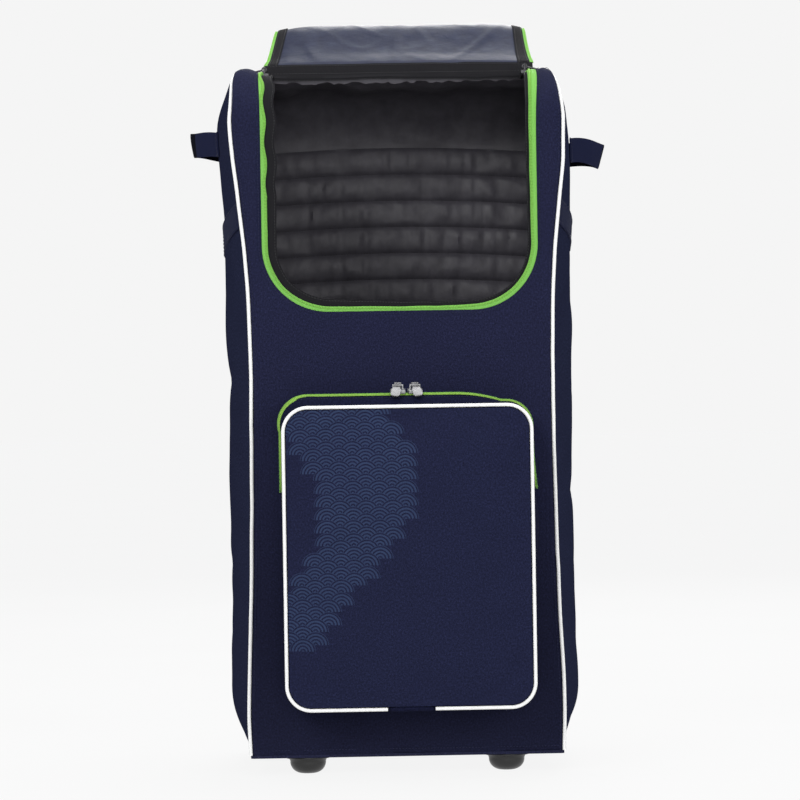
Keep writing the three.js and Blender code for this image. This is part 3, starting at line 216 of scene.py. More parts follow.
def blotch(u, v, size, seed, octaves=3):
    """Smooth cloth-like unevenness between about -1 and 1, over patches of a size."""
    lattice = np.random.RandomState(seed).rand(64, 64) * 2 - 1
    total, weight = 0.0, 0.0
    for k in range(octaves):
        a = np.asarray(u, float) / size * 2 ** k + 17.3 * k + 9.1
        b = np.asarray(v, float) / size * 2 ** k + 5.7 * k + 3.3
        ia, ib = np.floor(a).astype(int), np.floor(b).astype(int)
        fa, fb = a - ia, b - ib
        fa, fb = fa * fa * (3 - 2 * fa), fb * fb * (3 - 2 * fb)
        here, right, above = ia % 64, (ia + 1) % 64, (ib + 1) % 64
        low = lattice[here, ib % 64] * (1 - fa) + lattice[right, ib % 64] * fa
        high = lattice[here, above] * (1 - fa) + lattice[right, above] * fa
        total = total + (low * (1 - fb) + high * fb) * 0.5 ** k
        weight += 0.5 ** k
    return total / weight * 1.6


def crease(u, v, size, seed):
    """Sharp-backed creases between 0 and 1, as in stiff coated cloth."""
    return (1 - np.abs(blotch(u, v, size, seed, 2))) ** 3


def near(distance, reach):
    """1 at a seam, fading to 0 over a reach."""
    return np.exp(-(np.asarray(distance) / reach) ** 2)


def unit(vectors):
    """Vectors at a length of 1."""
    return vectors / np.maximum(np.linalg.norm(vectors, axis=-1, keepdims=True), 1e-9)


def dense(values, step):
    """Positions from the first to the last value, no further apart than a step."""
    count = max(int(math.ceil(abs(values[1] - values[0]) / step)), 1)
    return np.linspace(values[0], values[1], count + 1)


# Side profile of the bag, followed up the front, over the top and down the back
STRETCHES = np.array([
    BAG_HEIGHT - SHOULDER_RADIUS,
    SHOULDER_RADIUS * math.pi / 2,
    BAG_DEPTH - SHOULDER_RADIUS - BACK_RADIUS,
    BACK_RADIUS * math.pi / 2,
    BAG_HEIGHT - BACK_RADIUS,
])
MARKS = np.concatenate([[0], np.cumsum(STRETCHES)])
TOTAL_RUN = MARKS[-1]
HINGE_RUN = MARKS[2] + HINGE_SETBACK - SHOULDER_RADIUS
HINGE_Y = FRONT_Y + HINGE_SETBACK
CORNER_RUN = OPENING_BOTTOM + OPENING_CORNER


def station_at(run):
    """Stations of the side profile at runs along it."""
    return np.interp(run, MARKS, np.arange(6))


def run_at(station):
    """Runs along the side profile at stations."""
    return np.interp(station, np.arange(6), MARKS)


def profile_at(run):
    """Places and outward directions of the side profile: y, z, ny, nz."""
    station = station_at(run)
    k = np.clip(np.floor(station), 0, 4).astype(int)
    t = (np.asarray(run, float) - MARKS[k]) / STRETCHES[k]
    sine, cosine = np.sin(t * math.pi / 2), np.cos(t * math.pi / 2)
    still = np.zeros_like(t)
    y = np.choose(k, [
        still + FRONT_Y, FRONT_Y + SHOULDER_RADIUS * (1 - cosine),
        FRONT_Y + SHOULDER_RADIUS + t * STRETCHES[2], BACK_Y - BACK_RADIUS * (1 - sine),
        still + BACK_Y,
    ])
    z = np.choose(k, [
        t * STRETCHES[0], BAG_HEIGHT - SHOULDER_RADIUS * (1 - sine), still + BAG_HEIGHT,
        BAG_HEIGHT - BACK_RADIUS * (1 - cosine), (1 - t) * STRETCHES[4],
    ])
    ny = np.choose(k, [still - 1, -cosine, still, sine, still + 1])
    nz = np.choose(k, [still, sine, still + 1, cosine, still])
    return y, z, ny, nz


def out_at(run):
    """Outward directions of the side profile."""
    _, _, ny, nz = profile_at(run)
    return np.stack([0 * ny, ny, nz], -1)


def seam_half(run):
    """Half of the width between the side seams."""
    return BAG_HALF_WIDTH * ease(SEAM_ROWS, station_at(run))


def crown_at(x, run):
    """How far the cloth crowns over the side profile."""
    station, half = station_at(run), seam_half(run)
    height = np.where(run < HINGE_RUN, FRONT_CROWN, BACK_CROWN)
    crown = height * ease(CROWN_ROWS, station) * (1 - (x / half) ** 2)
    strip = (np.abs(x) - OPENING_HALF_WIDTH) / (half - OPENING_HALF_WIDTH)
    bump = np.where((strip > 0) & (strip < 1), np.sin(math.pi * np.clip(strip, 0, 1)), 0)
    return crown + SHOULDER_PUFF * ease(PUFF_ROWS, station) * bump


def shell_point(x, run, outward=0.0):
    """Points of the soft shell at widths, runs and heights over its skin."""
    x, run = np.broadcast_arrays(np.asarray(x, float), np.asarray(run, float))
    y, z, ny, nz = profile_at(run)
    out = crown_at(x, run) + outward
    return np.stack([x, y + ny * out, z + nz * out], -1)


# Mesh helpers

def place(points):
    """Points of the bag, leaned where it stands off its even form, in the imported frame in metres."""
    points = np.array(points, float).reshape(-1, 3)
    shift = np.zeros_like(points)
    for x, z, reach_x, reach_z, shift_x, shift_z in LEAN_ROWS:
        share = near(points[:, 0] - x, reach_x) * near(points[:, 2] - z, reach_z)
        shift += share[:, None] * np.array([shift_x, 0.0, shift_z])
    return (points + shift + SHIFT) * MM


def add_object(name, data):
    """A new object in the scene."""
    made = bpy.data.objects.new(name, data)
    bpy.context.scene.collection.objects.link(made)
    return made


def cloth_map(across, along):
    """Where points lie on their flat cloth, in metres."""
    return np.stack(np.broadcast_arrays(across, along), -1) * MM


def length_along(points):
    """How far along a line of points each point is."""
    return np.concatenate([[0], np.cumsum(np.linalg.norm(np.diff(points, axis=0), axis=1))])


def path_length(x, run):
    """How far along a path of widths and runs each place is."""
    return np.concatenate([[0], np.cumsum(np.hypot(np.diff(x), np.diff(run)))])


def volume_of(points, faces):
    """Six times the volume, below 0 where the faces point inwards."""
    total = 0.0
    for face in faces:
        a = points[face[0]]
        for b, c in zip(face[1:-1], face[2:]):
            total += float(np.dot(a, np.cross(points[b], points[c])))
    return total


def add_piece(name, points, faces, finishes, nodes, body="bag", uv=None, which=None, sharp=40):
    """One closed piece of the bag: its mesh and its finishes; the nodes it stands for are hidden."""
    points = np.asarray(points, float).reshape(-1, 3)
    if volume_of(points, faces) < 0:
        faces = [tuple(reversed(face)) for face in faces]
    mesh = bpy.data.meshes.new(name)
    mesh.from_pydata(place(points).tolist(), [], faces)
    if uv is not None:
        layer = mesh.uv_layers.new(name="cloth")
        corners = np.empty(len(mesh.loops), int)
        mesh.loops.foreach_get("vertex_index", corners)
        layer.data.foreach_set("uv", np.asarray(uv, float).reshape(-1, 2)[corners].ravel())
    for finish in finishes if isinstance(finishes, (list, tuple)) else [finishes]:
        mesh.materials.append(finish)
    if which is not None:
        mesh.polygons.foreach_set("material_index", np.asarray(which, int))
    mesh.polygons.foreach_set("use_smooth", [True] * len(mesh.polygons))
    mesh.set_sharp_from_angle(angle=math.radians(sharp))
    mesh.update()
    piece = add_object(name, mesh)
    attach(piece, body)
    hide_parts(*nodes)
    return piece


def grid_faces(rows, columns, start=0, ring=False):
    """Faces between the rows and columns of a grid of points."""
    i, j = np.meshgrid(np.arange(rows if ring else rows - 1), np.arange(columns - 1), indexing="ij")
    after = (i + 1) % rows
    here, there = i * columns + j, after * columns + j
    quads = np.stack([here, here + 1, there + 1, there], -1)
    return (quads.reshape(-1, 4) + start).tolist()


def skin_normals(skin, toward):
    """Unit normals of a grid of points, all on the side of a direction or of given vectors."""
    normal = unit(np.cross(np.gradient(skin, axis=0), np.gradient(skin, axis=1)))
    return normal * (1 if (normal * toward).sum() >= 0 else -1)


def add_wall(name, outer, inner, finishes, nodes, uv, ring=False):
    """A closed wall between two grids of points. A second finish goes on its inner side."""
    rows, columns = outer.shape[:2]
    size = rows * columns
    faces = grid_faces(rows, columns, 0, ring)
    inside = [tuple(reversed(face)) for face in grid_faces(rows, columns, size, ring)]
    which = [0] * len(faces) + [1] * len(inside)
    faces = faces + inside
    spans = rows if ring else rows - 1
    for i in range(spans):
        a, b = i * columns, ((i + 1) % rows) * columns
        faces.append((a, b, b + size, a + size))
        a, b = a + columns - 1, b + columns - 1
        faces.append((b, a, a + size, b + size))
    if not ring:
        last = (rows - 1) * columns
        for j in range(columns - 1):
            faces.append((j + 1, j, j + size, j + 1 + size))
            faces.append((last + j, last + j + 1, last + j + 1 + size, last + j + size))
    which = which + [0] * (len(faces) - len(which))
    double = isinstance(finishes, (list, tuple)) and len(finishes) > 1
    points = np.concatenate([outer.reshape(-1, 3), inner.reshape(-1, 3)])
    uv = np.concatenate([uv.reshape(-1, 2)] * 2)
    return add_piece(name, points, faces, finishes, nodes, uv=uv,
                     which=which if double else None)


def tube_faces(count, sides):
    """Faces that join rings one after another and close both ends."""
    faces = []
    for i in range(count - 1):
        for k in range(sides):
            n = (k + 1) % sides
            faces.append((i * sides + k, i * sides + n, (i + 1) * sides + n, (i + 1) * sides + k))
    faces.append(tuple(range(sides - 1, -1, -1)))
    faces.append(tuple((count - 1) * sides + k for k in range(sides)))
    return faces


def add_cord(name, centres, across, out, radius, finish, nodes):
    """A cord along centres, with the two directions of its section."""
    sides = CORD_SIDES
    angle = np.arange(sides) * 2 * math.pi / sides
    radius = np.broadcast_to(np.asarray(radius, float), (len(centres),))
    rings = (
        centres[:, None] + across[:, None] * (radius[:, None] * np.cos(angle))[..., None]
        + out[:, None] * (radius[:, None] * np.sin(angle))[..., None]
    )
    run = length_along(centres)
    around = np.abs(np.arange(sides) * 2 / sides - 1) * math.pi * float(radius.mean())
    uv = cloth_map(run[:, None], around)
    add_piece(name, rings, tube_faces(len(centres), sides), finish, nodes, uv=uv)


def resample(path, step):
    """Points along a path at an even step, and where between its own points they lie."""
    run = length_along(path)
    at = np.linspace(0, run[-1], max(int(round(run[-1] / step)), 2))
    share = np.interp(at, run, np.arange(len(path)))
    return np.stack([np.interp(at, run, path[:, k]) for k in range(3)], -1), share


def follow(values, share):
    """Values between those of a path's own points."""
    index = np.arange(len(values))
    return np.stack([np.interp(share, index, values[:, k]) for k in range(3)], -1)


def settle(skin, sewn, outward, pressure, slack, cap):
    """Let a cloth sewn at some places find its own dents, with no point moved past a cap."""
    scene = bpy.context.scene
    faces = grid_faces(*skin.shape[:2])
    normal = np.cross(skin[0, 1] - skin[0, 0], skin[1, 1] - skin[0, 0])
    if np.dot(normal, outward) < 0:
        faces = [tuple(reversed(face)) for face in faces]
    mesh = bpy.data.meshes.new("cloth_to_settle")
    mesh.from_pydata(place(skin).tolist(), [], faces)
    cloth = add_object("cloth_to_settle", mesh)
    group = cloth.vertex_groups.new(name="sewn")
    group.add(np.flatnonzero(sewn.ravel()).tolist(), 1.0, "REPLACE")
    modifier = cloth.modifiers.new("cloth", "CLOTH")
    settings = modifier.settings
    settings.quality, settings.mass, settings.air_damping = 6, 0.3, 4.0
    settings.tension_stiffness = settings.compression_stiffness = 25
    settings.bending_stiffness = 2.0
    settings.vertex_group_mass = "sewn"
    settings.shrink_min = settings.shrink_max = -slack
    settings.use_pressure, settings.uniform_pressure_force = True, pressure
    settings.effector_weights.gravity = 0
    modifier.point_cache.frame_start, modifier.point_cache.frame_end = 1, CLOTH_FRAMES
    for frame_number in range(1, CLOTH_FRAMES + 1):
        scene.frame_set(frame_number)
    seen = cloth.evaluated_get(bpy.context.evaluated_depsgraph_get())
    moved = np.empty(len(seen.data.vertices) * 3)
    seen.data.vertices.foreach_get("co", moved)
    bpy.data.objects.remove(cloth)
    scene.frame_set(1)
    moved = (moved.reshape(skin.shape) - place(skin).reshape(skin.shape)) / MM
    far = np.linalg.norm(moved, axis=-1, keepdims=True)
    return skin + moved * cap * np.tanh(far / cap) / np.maximum(far, 1e-6)


# Repeats made by geometry nodes: stitches along seams and the coils of zips

def repeat_tree():
    """One small rounded bead on each point, turned along its seam, with named sizes."""
    tree = bpy.data.node_groups.new("beads_along_a_seam", "GeometryNodeTree")
    face = tree.interface
    face.new_socket("Geometry", in_out="INPUT", socket_type="NodeSocketGeometry")
    for label in ("Along", "Across", "Height"):
        face.new_socket(label, in_out="INPUT", socket_type="NodeSocketFloat")
    face.new_socket("Finish", in_out="INPUT", socket_type="NodeSocketMaterial")
    face.new_socket("Geometry", in_out="OUTPUT", socket_type="NodeSocketGeometry")
    node, link = tree.nodes.new, tree.links.new
    given, made = node("NodeGroupInput"), node("NodeGroupOutput")
    bead = node("GeometryNodeMeshUVSphere")
    bead.inputs["Segments"].default_value = 6
    bead.inputs["Rings"].default_value = 4
    bead.inputs["Radius"].default_value = 0.5
    size = node("ShaderNodeCombineXYZ")
    for label, axis in (("Along", "X"), ("Across", "Y"), ("Height", "Z")):
        link(given.outputs[label], size.inputs[axis])
    turn = node("FunctionNodeAxesToRotation")
    turn.primary_axis, turn.secondary_axis = "X", "Z"
    for label, socket in (("along", 0), ("out", 1)):
        read = node("GeometryNodeInputNamedAttribute")
        read.data_type = "FLOAT_VECTOR"
        read.inputs["Name"].default_value = label
        link(read.outputs["Attribute"], turn.inputs[socket])
    spread = node("GeometryNodeInstanceOnPoints")
    link(given.outputs["Geometry"], spread.inputs["Points"])
    link(bead.outputs["Mesh"], spread.inputs["Instance"])
    link(turn.outputs["Rotation"], spread.inputs["Rotation"])
    link(size.outputs["Vector"], spread.inputs["Scale"])
    real, paint = node("GeometryNodeRealizeInstances"), node("GeometryNodeSetMaterial")
    link(spread.outputs["Instances"], real.inputs["Geometry"])
    link(real.outputs["Geometry"], paint.inputs["Geometry"])
    link(given.outputs["Finish"], paint.inputs["Material"])
    link(paint.outputs["Geometry"], made.inputs["Geometry"])
    return tree


BEADS = repeat_tree()


def add_beads(name, seams, pitch, along, across, height, finish):
    """Beads of a size at a pitch along seams. A seam is its points and its outward directions."""
    points, lines, outs = [], [], []
    for path, out in seams:
        at, share = resample(np.asarray(path, float), pitch)
        points.append(at)
        lines.append(unit(np.gradient(at, axis=0)))
        outs.append(unit(follow(np.asarray(out, float), share)))
    points, lines, outs = (np.concatenate(a) for a in (points, lines, outs))
    mesh = bpy.data.meshes.new(name)
    mesh.from_pydata(place(points).tolist(), [], [])
    for label, values in (("along", lines), ("out", outs)):
        attribute = mesh.attributes.new(label, "FLOAT_VECTOR", "POINT")
        attribute.data.foreach_set("vector", values.ravel())
    piece = add_object(name, mesh)
    modifier = piece.modifiers.new("beads", "NODES")
    modifier.node_group = BEADS
    sockets = {s.name: s.identifier for s in BEADS.interface.items_tree if s.in_out == "INPUT"}
    for label, value in (("Along", along), ("Across", across), ("Height", height)):
        modifier[sockets[label]] = value * MM
    modifier[sockets["Finish"]] = finish
    seen = piece.evaluated_get(bpy.context.evaluated_depsgraph_get())
    real = bpy.data.meshes.new_from_object(seen)
    piece.modifiers.remove(modifier)
    piece.data = real
    for label in ("along", "out"):
        if label in real.attributes:
            real.attributes.remove(real.attributes[label])
    real.polygons.foreach_set("use_smooth", [True] * len(real.polygons))
    if not real.materials:
        real.materials.append(finish)
    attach(piece, "bag")
    return piece


# Finishes

class Finish:
    """A principled material with short ways to add its nodes."""

    def __init__(self, name, rough, metal=0.0, specular=0.5):
        self.material = bpy.data.materials.new(name)
        self.material.use_nodes = True
        self.tree = self.material.node_tree
        self.shader = self.tree.nodes["Principled BSDF"]
        for socket, value in (
            ("Roughness", rough), ("Metallic", metal), ("Specular IOR Level", specular),
        ):
            self.shader.inputs[socket].default_value = value
        self.material.diffuse_color = (0.5, 0.5, 0.5, 1)

    def node(self, kind, inputs=None, **settings):
        made = self.tree.nodes.new(kind)
        for key, value in settings.items():
            setattr(made, key, value)
        for key, value in (inputs or {}).items():
            if isinstance(value, bpy.types.NodeSocket):
                self.tree.links.new(value, made.inputs[key])
            else:
                made.inputs[key].default_value = value
        return made

    def where(self, scale=(1, 1, 1), uv=False):
        source = self.node("ShaderNodeTexCoord").outputs["UV" if uv else "Object"]
        return self.node("ShaderNodeMapping", {"Vector": source, "Scale": scale}).outputs["Vector"]

    def noise(self, vector, scale, detail=3.0, rough=0.55):
        return self.node(
            "ShaderNodeTexNoise",
            {"Vector": vector, "Scale": scale, "Detail": detail, "Roughness": rough},
        ).outputs["Fac"]

    def math(self, operation, a, b=0.0, c=0.0):
        return self.node("ShaderNodeMath", {0: a, 1: b, 2: c}, operation=operation).outputs[0]

    def times(self, a, b):
        return self.math("MULTIPLY", a, b)

    def fit(self, value, scale, shift):
        """A value times a scale, plus a shift."""
        return self.math("MULTIPLY_ADD", value, scale, shift)

    def clamp(self, value, high=1.0):
        """A value held between 0 and a limit."""
        return self.node("ShaderNodeClamp", {"Value": value, "Max": high}).outputs["Result"]

    def bands(self, value, pitch):
        """Rounded ribs across a distance in metres, between 0 and 1."""
        return self.fit(self.math("SINE", self.times(value, 2 * math.pi / pitch)), 0.5, 0.5)

    def ramp(self, value, stops):
        ramp = self.node("ShaderNodeValToRGB", {"Fac": value})
        band = ramp.color_ramp
        while len(band.elements) < len(stops):
            band.elements.new(0.5)
        for element, (at, colour) in zip(band.elements, stops):
            element.position = at
            element.color = (*colour, 1)
        return ramp.outputs["Color"]

    def mix(self, share, a, b):
        made = self.node("ShaderNodeMix", data_type="RGBA")
        for index, value in ((0, share), (6, a), (7, b)):
            if isinstance(value, bpy.types.NodeSocket):
                self.tree.links.new(value, made.inputs[index])
            else:
                made.inputs[index].default_value = value if index == 0 else (*value, 1)
        return made.outputs[2]

    def split(self, vector):
        return self.node("ShaderNodeSeparateXYZ", {"Vector": vector}).outputs

    def bump(self, height, distance, strength=1.0, normal=None):
        inputs = {"Height": height, "Distance": distance, "Strength": strength}
        if normal is not None:
            inputs["Normal"] = normal
        return self.node("ShaderNodeBump", inputs).outputs["Normal"]

    def done(self, colour=None, normal=None, rough=None):
        for value, socket in ((colour, "Base Color"), (normal, "Normal"), (rough, "Roughness")):
            if value is not None:
                self.tree.links.new(value, self.shader.inputs[socket])
        return self.material


def shade(colour, factor):
    """A lighter or darker colour."""
    return tuple(min(channel * factor, 1.0) for channel in colour)


def woven(name, colour, pitch=0.0011, rough=0.85, gloss=0.08, print_layer=None, uv=True, low=0.0):
    """Plain-woven cloth: crossing yarns, uneven dye, slubs, and, where low is given, painted shade that
    darkens its lower part.
    """
    finish = Finish(name, rough, specular=gloss)
    cloth = finish.where(uv=uv)
    u, v, _ = finish.split(cloth)
    yarn = finish.times(finish.bands(u, pitch), finish.bands(v, pitch))
    slub = finish.noise(finish.where((900, 260, 1), uv=uv), 1.0, 2.0)
    grain = finish.noise(cloth, 430.0, 3.0, 0.8)
    wide = finish.noise(cloth, 14.0, 3.0)
    tone = finish.fit(grain, 0.7, finish.times(slub, 0.3))
    base = finish.ramp(tone, [(0.32, shade(colour, 0.42)), (0.5, colour), (0.7, shade(colour, 2.1))])
    base = finish.mix(finish.times(wide, 0.35), base, shade(colour, 0.6))
    # Painted shade: mix towards a far darker navy where the cloth's map runs low, so the bag's lower
    # part looks shaded
    if low:
        slope = low / PAINTED_SHADE_FADE
        share = finish.fit(v, -slope, slope * PAINTED_SHADE_TOP)
        base = finish.mix(finish.clamp(share, low), base, shade(colour, 0.1))
    if print_layer:
        base = print_layer(finish, cloth, base)
    height = finish.math("ADD", yarn, finish.times(slub, 0.8))
    normal = finish.bump(height, 0.0002, 0.9)
    normal = finish.bump(finish.noise(cloth, 60.0, 4.0), 0.0012, 0.25, normal)
    return finish.done(base, normal)


def ribbed(name, colour, pitch, rough, across=False, depth=0.0003, specular=0.15):
    """Narrow woven tape with ribs along or across its length."""
    finish = Finish(name, rough, specular=specular)
    cloth = finish.where(uv=True)
    u, v, _ = finish.split(cloth)
    rib = finish.bands(v if across else u, pitch)
    yarn = finish.bands(u if across else v, pitch * 0.6)
    grain = finish.noise(cloth, 700.0, 2.0, 0.7)
    tone = finish.fit(rib, 0.45, finish.times(grain, 0.6))
    base = finish.ramp(tone, [(0.2, shade(colour, 0.6)), (0.5, colour), (0.85, shade(colour, 1.35))])
    height = finish.fit(yarn, 0.35, rib)
    return finish.done(base, finish.bump(height, depth, 0.8))


def coated(name, colour, rough, gloss, depth=0.0005):
    """Thin cloth with a shiny coat: fine grid, crinkles and uneven gloss."""
    finish = Finish(name, rough, specular=gloss)
    cloth = finish.where(uv=True)
    u, v, _ = finish.split(cloth)
    grid = finish.math("MAXIMUM", finish.bands(u, 0.0013), finish.bands(v, 0.0013))
    crinkle = finish.noise(finish.where((70, 45, 1), uv=True), 1.0, 6.0, 0.65)
    wide = finish.noise(cloth, 11.0, 3.0)
    base = finish.ramp(
        crinkle, [(0.3, shade(colour, 0.75)), (0.55, colour), (0.8, shade(colour, 1.3))])
    base = finish.mix(finish.times(wide, 0.4), base, shade(colour, 0.7))
    normal = finish.bump(grid, 0.00006, 0.7)
    normal = finish.bump(crinkle, depth, 0.8, normal)
    low, high = rough * 0.75, min(rough * 1.45, 1.0)
    gloss_map = finish.fit(wide, high - low, low)
    return finish.done(base, normal, gloss_map)


def moulded(name, colour, rough):
    """Moulded plastic or rubber: fine texture, scuffs and dust."""
    finish = Finish(name, rough)
    fine = finish.noise(finish.where(), 900.0, 2.0)
    scuff = finish.noise(finish.where((1, 1, 6)), 60.0, 5.0, 0.7)
    base = finish.ramp(
        scuff, [(0.35, colour), (0.6, shade(colour, 1.25)), (0.78, shade(colour, 2.1))])
    normal = finish.bump(fine, 0.00004, 0.6)
    dull = finish.fit(scuff, 0.3, rough * 0.7)
    return finish.done(base, finish.bump(scuff, 0.0001, 0.2, normal), dull)


def plated(name, colour, rough):
    """Plated metal with a faint orange peel and darker patches, partly smears and partly painted shade.
    """
    finish = Finish(name, rough, metal=1.0)
    on_piece = finish.where()
    smear_and_shade = finish.noise(finish.where((1, 1, 4)), 220.0, 4.0, 0.6)
    # Partly painted shade: the smear patches darken the metal's colour as well as dulling it
    base = finish.ramp(smear_and_shade, [(0.35, shade(colour, 0.6)), (0.62, colour)])
    dull = finish.fit(smear_and_shade, 0.18, rough * 0.6)
    normal = finish.bump(finish.noise(on_piece, 600.0, 2.0), 0.00012, 0.6)
    return finish.done(base, normal, dull)


def scallops(finish, cloth, base):
    """Tone-on-tone wave scallops: whole scales in a swath that winds down the pocket."""
    radius = 0.0165
    x, z, _ = finish.split(cloth)
    row = finish.math("FLOOR", finish.math("DIVIDE", z, radius / 2))

    def scale_of(row_at):
        """Whether a row's scale covers this place, and how far out from its centre it is."""
        odd = finish.math("MODULO", finish.math("ADD", row_at, 400.0), 2.0)
        turn = finish.fit(odd, 0.5, finish.math("DIVIDE", x, 2 * radius))
        number = finish.math("ROUND", turn)
        dx = finish.times(finish.math("SUBTRACT", turn, number), 2 * radius)
        dz = finish.math("SUBTRACT", z, finish.times(row_at, radius / 2))
        square = finish.fit(dx, dx, finish.times(dz, dz))
        far = finish.math("DIVIDE", finish.math("SQRT", square), radius)
        centre_x = finish.math("SUBTRACT", x, dx)
        centre_z = finish.times(row_at, radius / 2)
        sway = finish.math("SINE", finish.fit(centre_z, 15.0, 0.5))
        middle = finish.fit(sway, 0.05, -0.095)
        off = finish.math("ABSOLUTE", finish.math("SUBTRACT", centre_x, middle))
        reach = finish.fit(centre_z, 0.16, 0.047)
        inside = finish.math("LESS_THAN", off, reach)
        above = finish.math("GREATER_THAN", centre_z, -0.12)
        whole = finish.times(inside, above)
        return finish.times(whole, finish.math("LESS_THAN", far, 1.0)), far

    front, near_far = scale_of(finish.math("SUBTRACT", row, 1.0))
    behind, back_far = scale_of(row)
    back_share = finish.times(behind, finish.math("SUBTRACT", 1.0, front))
    far = finish.fit(near_far, front, finish.times(back_far, back_share))
    share = finish.math("ADD", front, back_share)
    wave = finish.math("SINE", finish.fit(far, 25.0, 0.9))
    ring = finish.clamp(finish.fit(wave, 3.0, 0.8))
    speckle = finish.noise(cloth, 1300.0, 2.0, 0.7)
    patchy = finish.noise(cloth, 30.0, 3.0)
    worn = finish.fit(speckle, 0.9, finish.times(patchy, 0.5))
    share = finish.clamp(finish.times(finish.times(ring, share), worn))
    return finish.mix(share, base, (0.027, 0.043, 0.094))


NAVY = (0.0104, 0.0118, 0.034)
# Painted light: the side walls are the front's navy cloth given a lighter colour, for light the lamps
# don't give them
NAVY_SIDE_PAINTED_LIGHT = (0.0158, 0.0185, 0.0405)
# The navy cloth carries painted shade towards the bag's foot
navy_cloth = woven("navy_cloth", NAVY, low=0.3)
side_cloth = woven("side_cloth", NAVY_SIDE_PAINTED_LIGHT, gloss=0.0)
pocket_cloth = woven("pocket_cloth", (0.0095, 0.0115, 0.034), print_layer=scallops)
pocket_side_cloth = woven("pocket_side_cloth", (0.0065, 0.0075, 0.022), gloss=0.03)
base_cloth = woven("base_cloth", (0.0105, 0.0118, 0.032), pitch=0.0016, rough=0.7, uv=False)
black_lining = coated("black_lining", (0.052, 0.049, 0.059), 0.45, gloss=0.3)
lid_lining = coated("lid_lining", (0.0135, 0.0175, 0.041), 0.34, gloss=0.05, depth=0.0009)
black_tape = ribbed("black_tape", (0.0115, 0.0112, 0.013), 0.0016, 0.8, specular=0.06)
green_tape = ribbed("green_tape", (0.165, 0.415, 0.08), 0.0013, 0.7, across=True, specular=0.1)
pocket_green = ribbed("pocket_green", (0.2, 0.37, 0.055), 0.0013, 0.6, across=True, specular=0.2)
green_coil = ribbed("green_coil", (0.19, 0.43, 0.07), 0.002, 0.45, specular=0.25)
webbing_cloth = ribbed("webbing_cloth", (0.0098, 0.0122, 0.036), 0.0021, 0.7, depth=0.0006,
                       specular=0.04)
# Painted shade: a near-black copy of the webbing, for the loop's inner side and its shaded fold
webbing_painted_shade = ribbed("webbing_painted_shade", (0.004, 0.0045, 0.008), 0.0021, 0.8, specular=0.02)
white_cord = ribbed("white_cord", (0.8, 0.8, 0.79), 0.0012, 0.55, depth=0.00025)
navy_thread = ribbed("navy_thread", (0.014, 0.016, 0.042), 0.0006, 0.6)
black_thread = ribbed("black_thread", (0.03, 0.03, 0.032), 0.0006, 0.5)
black_plastic = moulded("black_plastic", (0.0045, 0.0045, 0.0048), 0.28)
wheel_rubber = moulded("wheel_rubber", (0.012, 0.012, 0.0125), 0.55)
bright_metal = plated("bright_metal", (0.4, 0.405, 0.41), 0.62)
# Painted shade: the pull tabs take a darker copy of the runners' plated metal, which dims the lamps'
# reflection on them
pull_metal_painted_shade = plated("pull_metal_painted_shade", (0.19, 0.19, 0.195), 0.6)
dark_metal = plated("dark_metal", (0.07, 0.07, 0.073), 0.4)
screw_steel = plated("screw_steel", (0.3, 0.3, 0.31), 0.34)


# Front panel, between the opening's edge and the side seams and base

def opening_path(run_step=7.0):
    """Places round the opening from the left hinge to the right one.

    Each is its x, its run, its inward direction, and the run and the share of the half width where
    the panel's outer edge answers it.
    """
    runs = dense((HINGE_RUN - FIT, CORNER_RUN), run_step)[:-1]
    turn = np.linspace(0, math.pi / 2, 19)
    flat = np.linspace(-1, 1, 33)[1:-1]
    reach = OPENING_HALF_WIDTH - OPENING_CORNER
    halves = []
    for side in (-1, 1):
        x = np.concatenate([np.full_like(runs, side * OPENING_HALF_WIDTH),
                            side * (reach + OPENING_CORNER * np.cos(turn))])
        run = np.concatenate([runs, OPENING_BOTTOM + OPENING_CORNER * (1 - np.sin(turn))])
        nx = np.concatenate([np.full_like(runs, -side), -side * np.cos(turn)])
        nr = np.concatenate([np.zeros_like(runs), np.sin(turn)])
        low = np.concatenate([runs, CORNER_RUN + (LOW_RUN - CORNER_RUN) * turn / (math.pi / 2)])
        halves.append(np.stack([x, run, nx, nr, low, np.full_like(x, side)], -1))
    end = np.stack([flat * reach, np.full_like(flat, OPENING_BOTTOM), np.zeros_like(flat),
                    np.ones_like(flat), np.full_like(flat, LOW_RUN), flat], -1)
    return np.concatenate([halves[0], end, halves[1][::-1]])


def front_folds(x, run):
    """Soft folds of the front cloth, in millimetres out of its plane."""
    half = seam_half(run)
    seam = half - np.abs(x)
    wide = 1.3 * blotch(x, run, 150, 11, 2)
    pull = 1.1 * blotch(x * 0.7 + run * 0.35, run - np.abs(x) * 0.9, 62, 23, 2)
    pucker = 0.55 * near(seam, 16) * blotch(x * 0.3, run, 13, 5, 1)
    lower = 1.6 * near(run - 25, 60) * blotch(x, run * 0.4, 34, 31, 2)
    calm = 1 - near(seam, 5)
    return (wide + pull + lower) * calm + pucker


def make_front():
    """The front panel, the shoulder and the strips beside the opening."""
    path = opening_path()
    shares = np.linspace(0, 1, 64) ** 0.9
    outer_x = path[:, 5] * (seam_half(path[:, 4]) - SEAM_INSET)
    x = path[:, :1] + (outer_x[:, None] - path[:, :1]) * shares
    run = path[:, 1:2] + (path[:, 4:5] - path[:, 1:2]) * shares
    edge = near(shares * 60, 4)
    skin = shell_point(x, run, front_folds(x, run) * (1 - edge))
    uv = cloth_map(x, run)
    bag_middle = np.array([0, 60, 420])
    inner = skin - skin_normals(skin, skin - bag_middle) * PANEL_WALL
    return add_wall("front_cloth", skin, inner, [navy_cloth, black_lining],
                    ["front_panel"], uv)


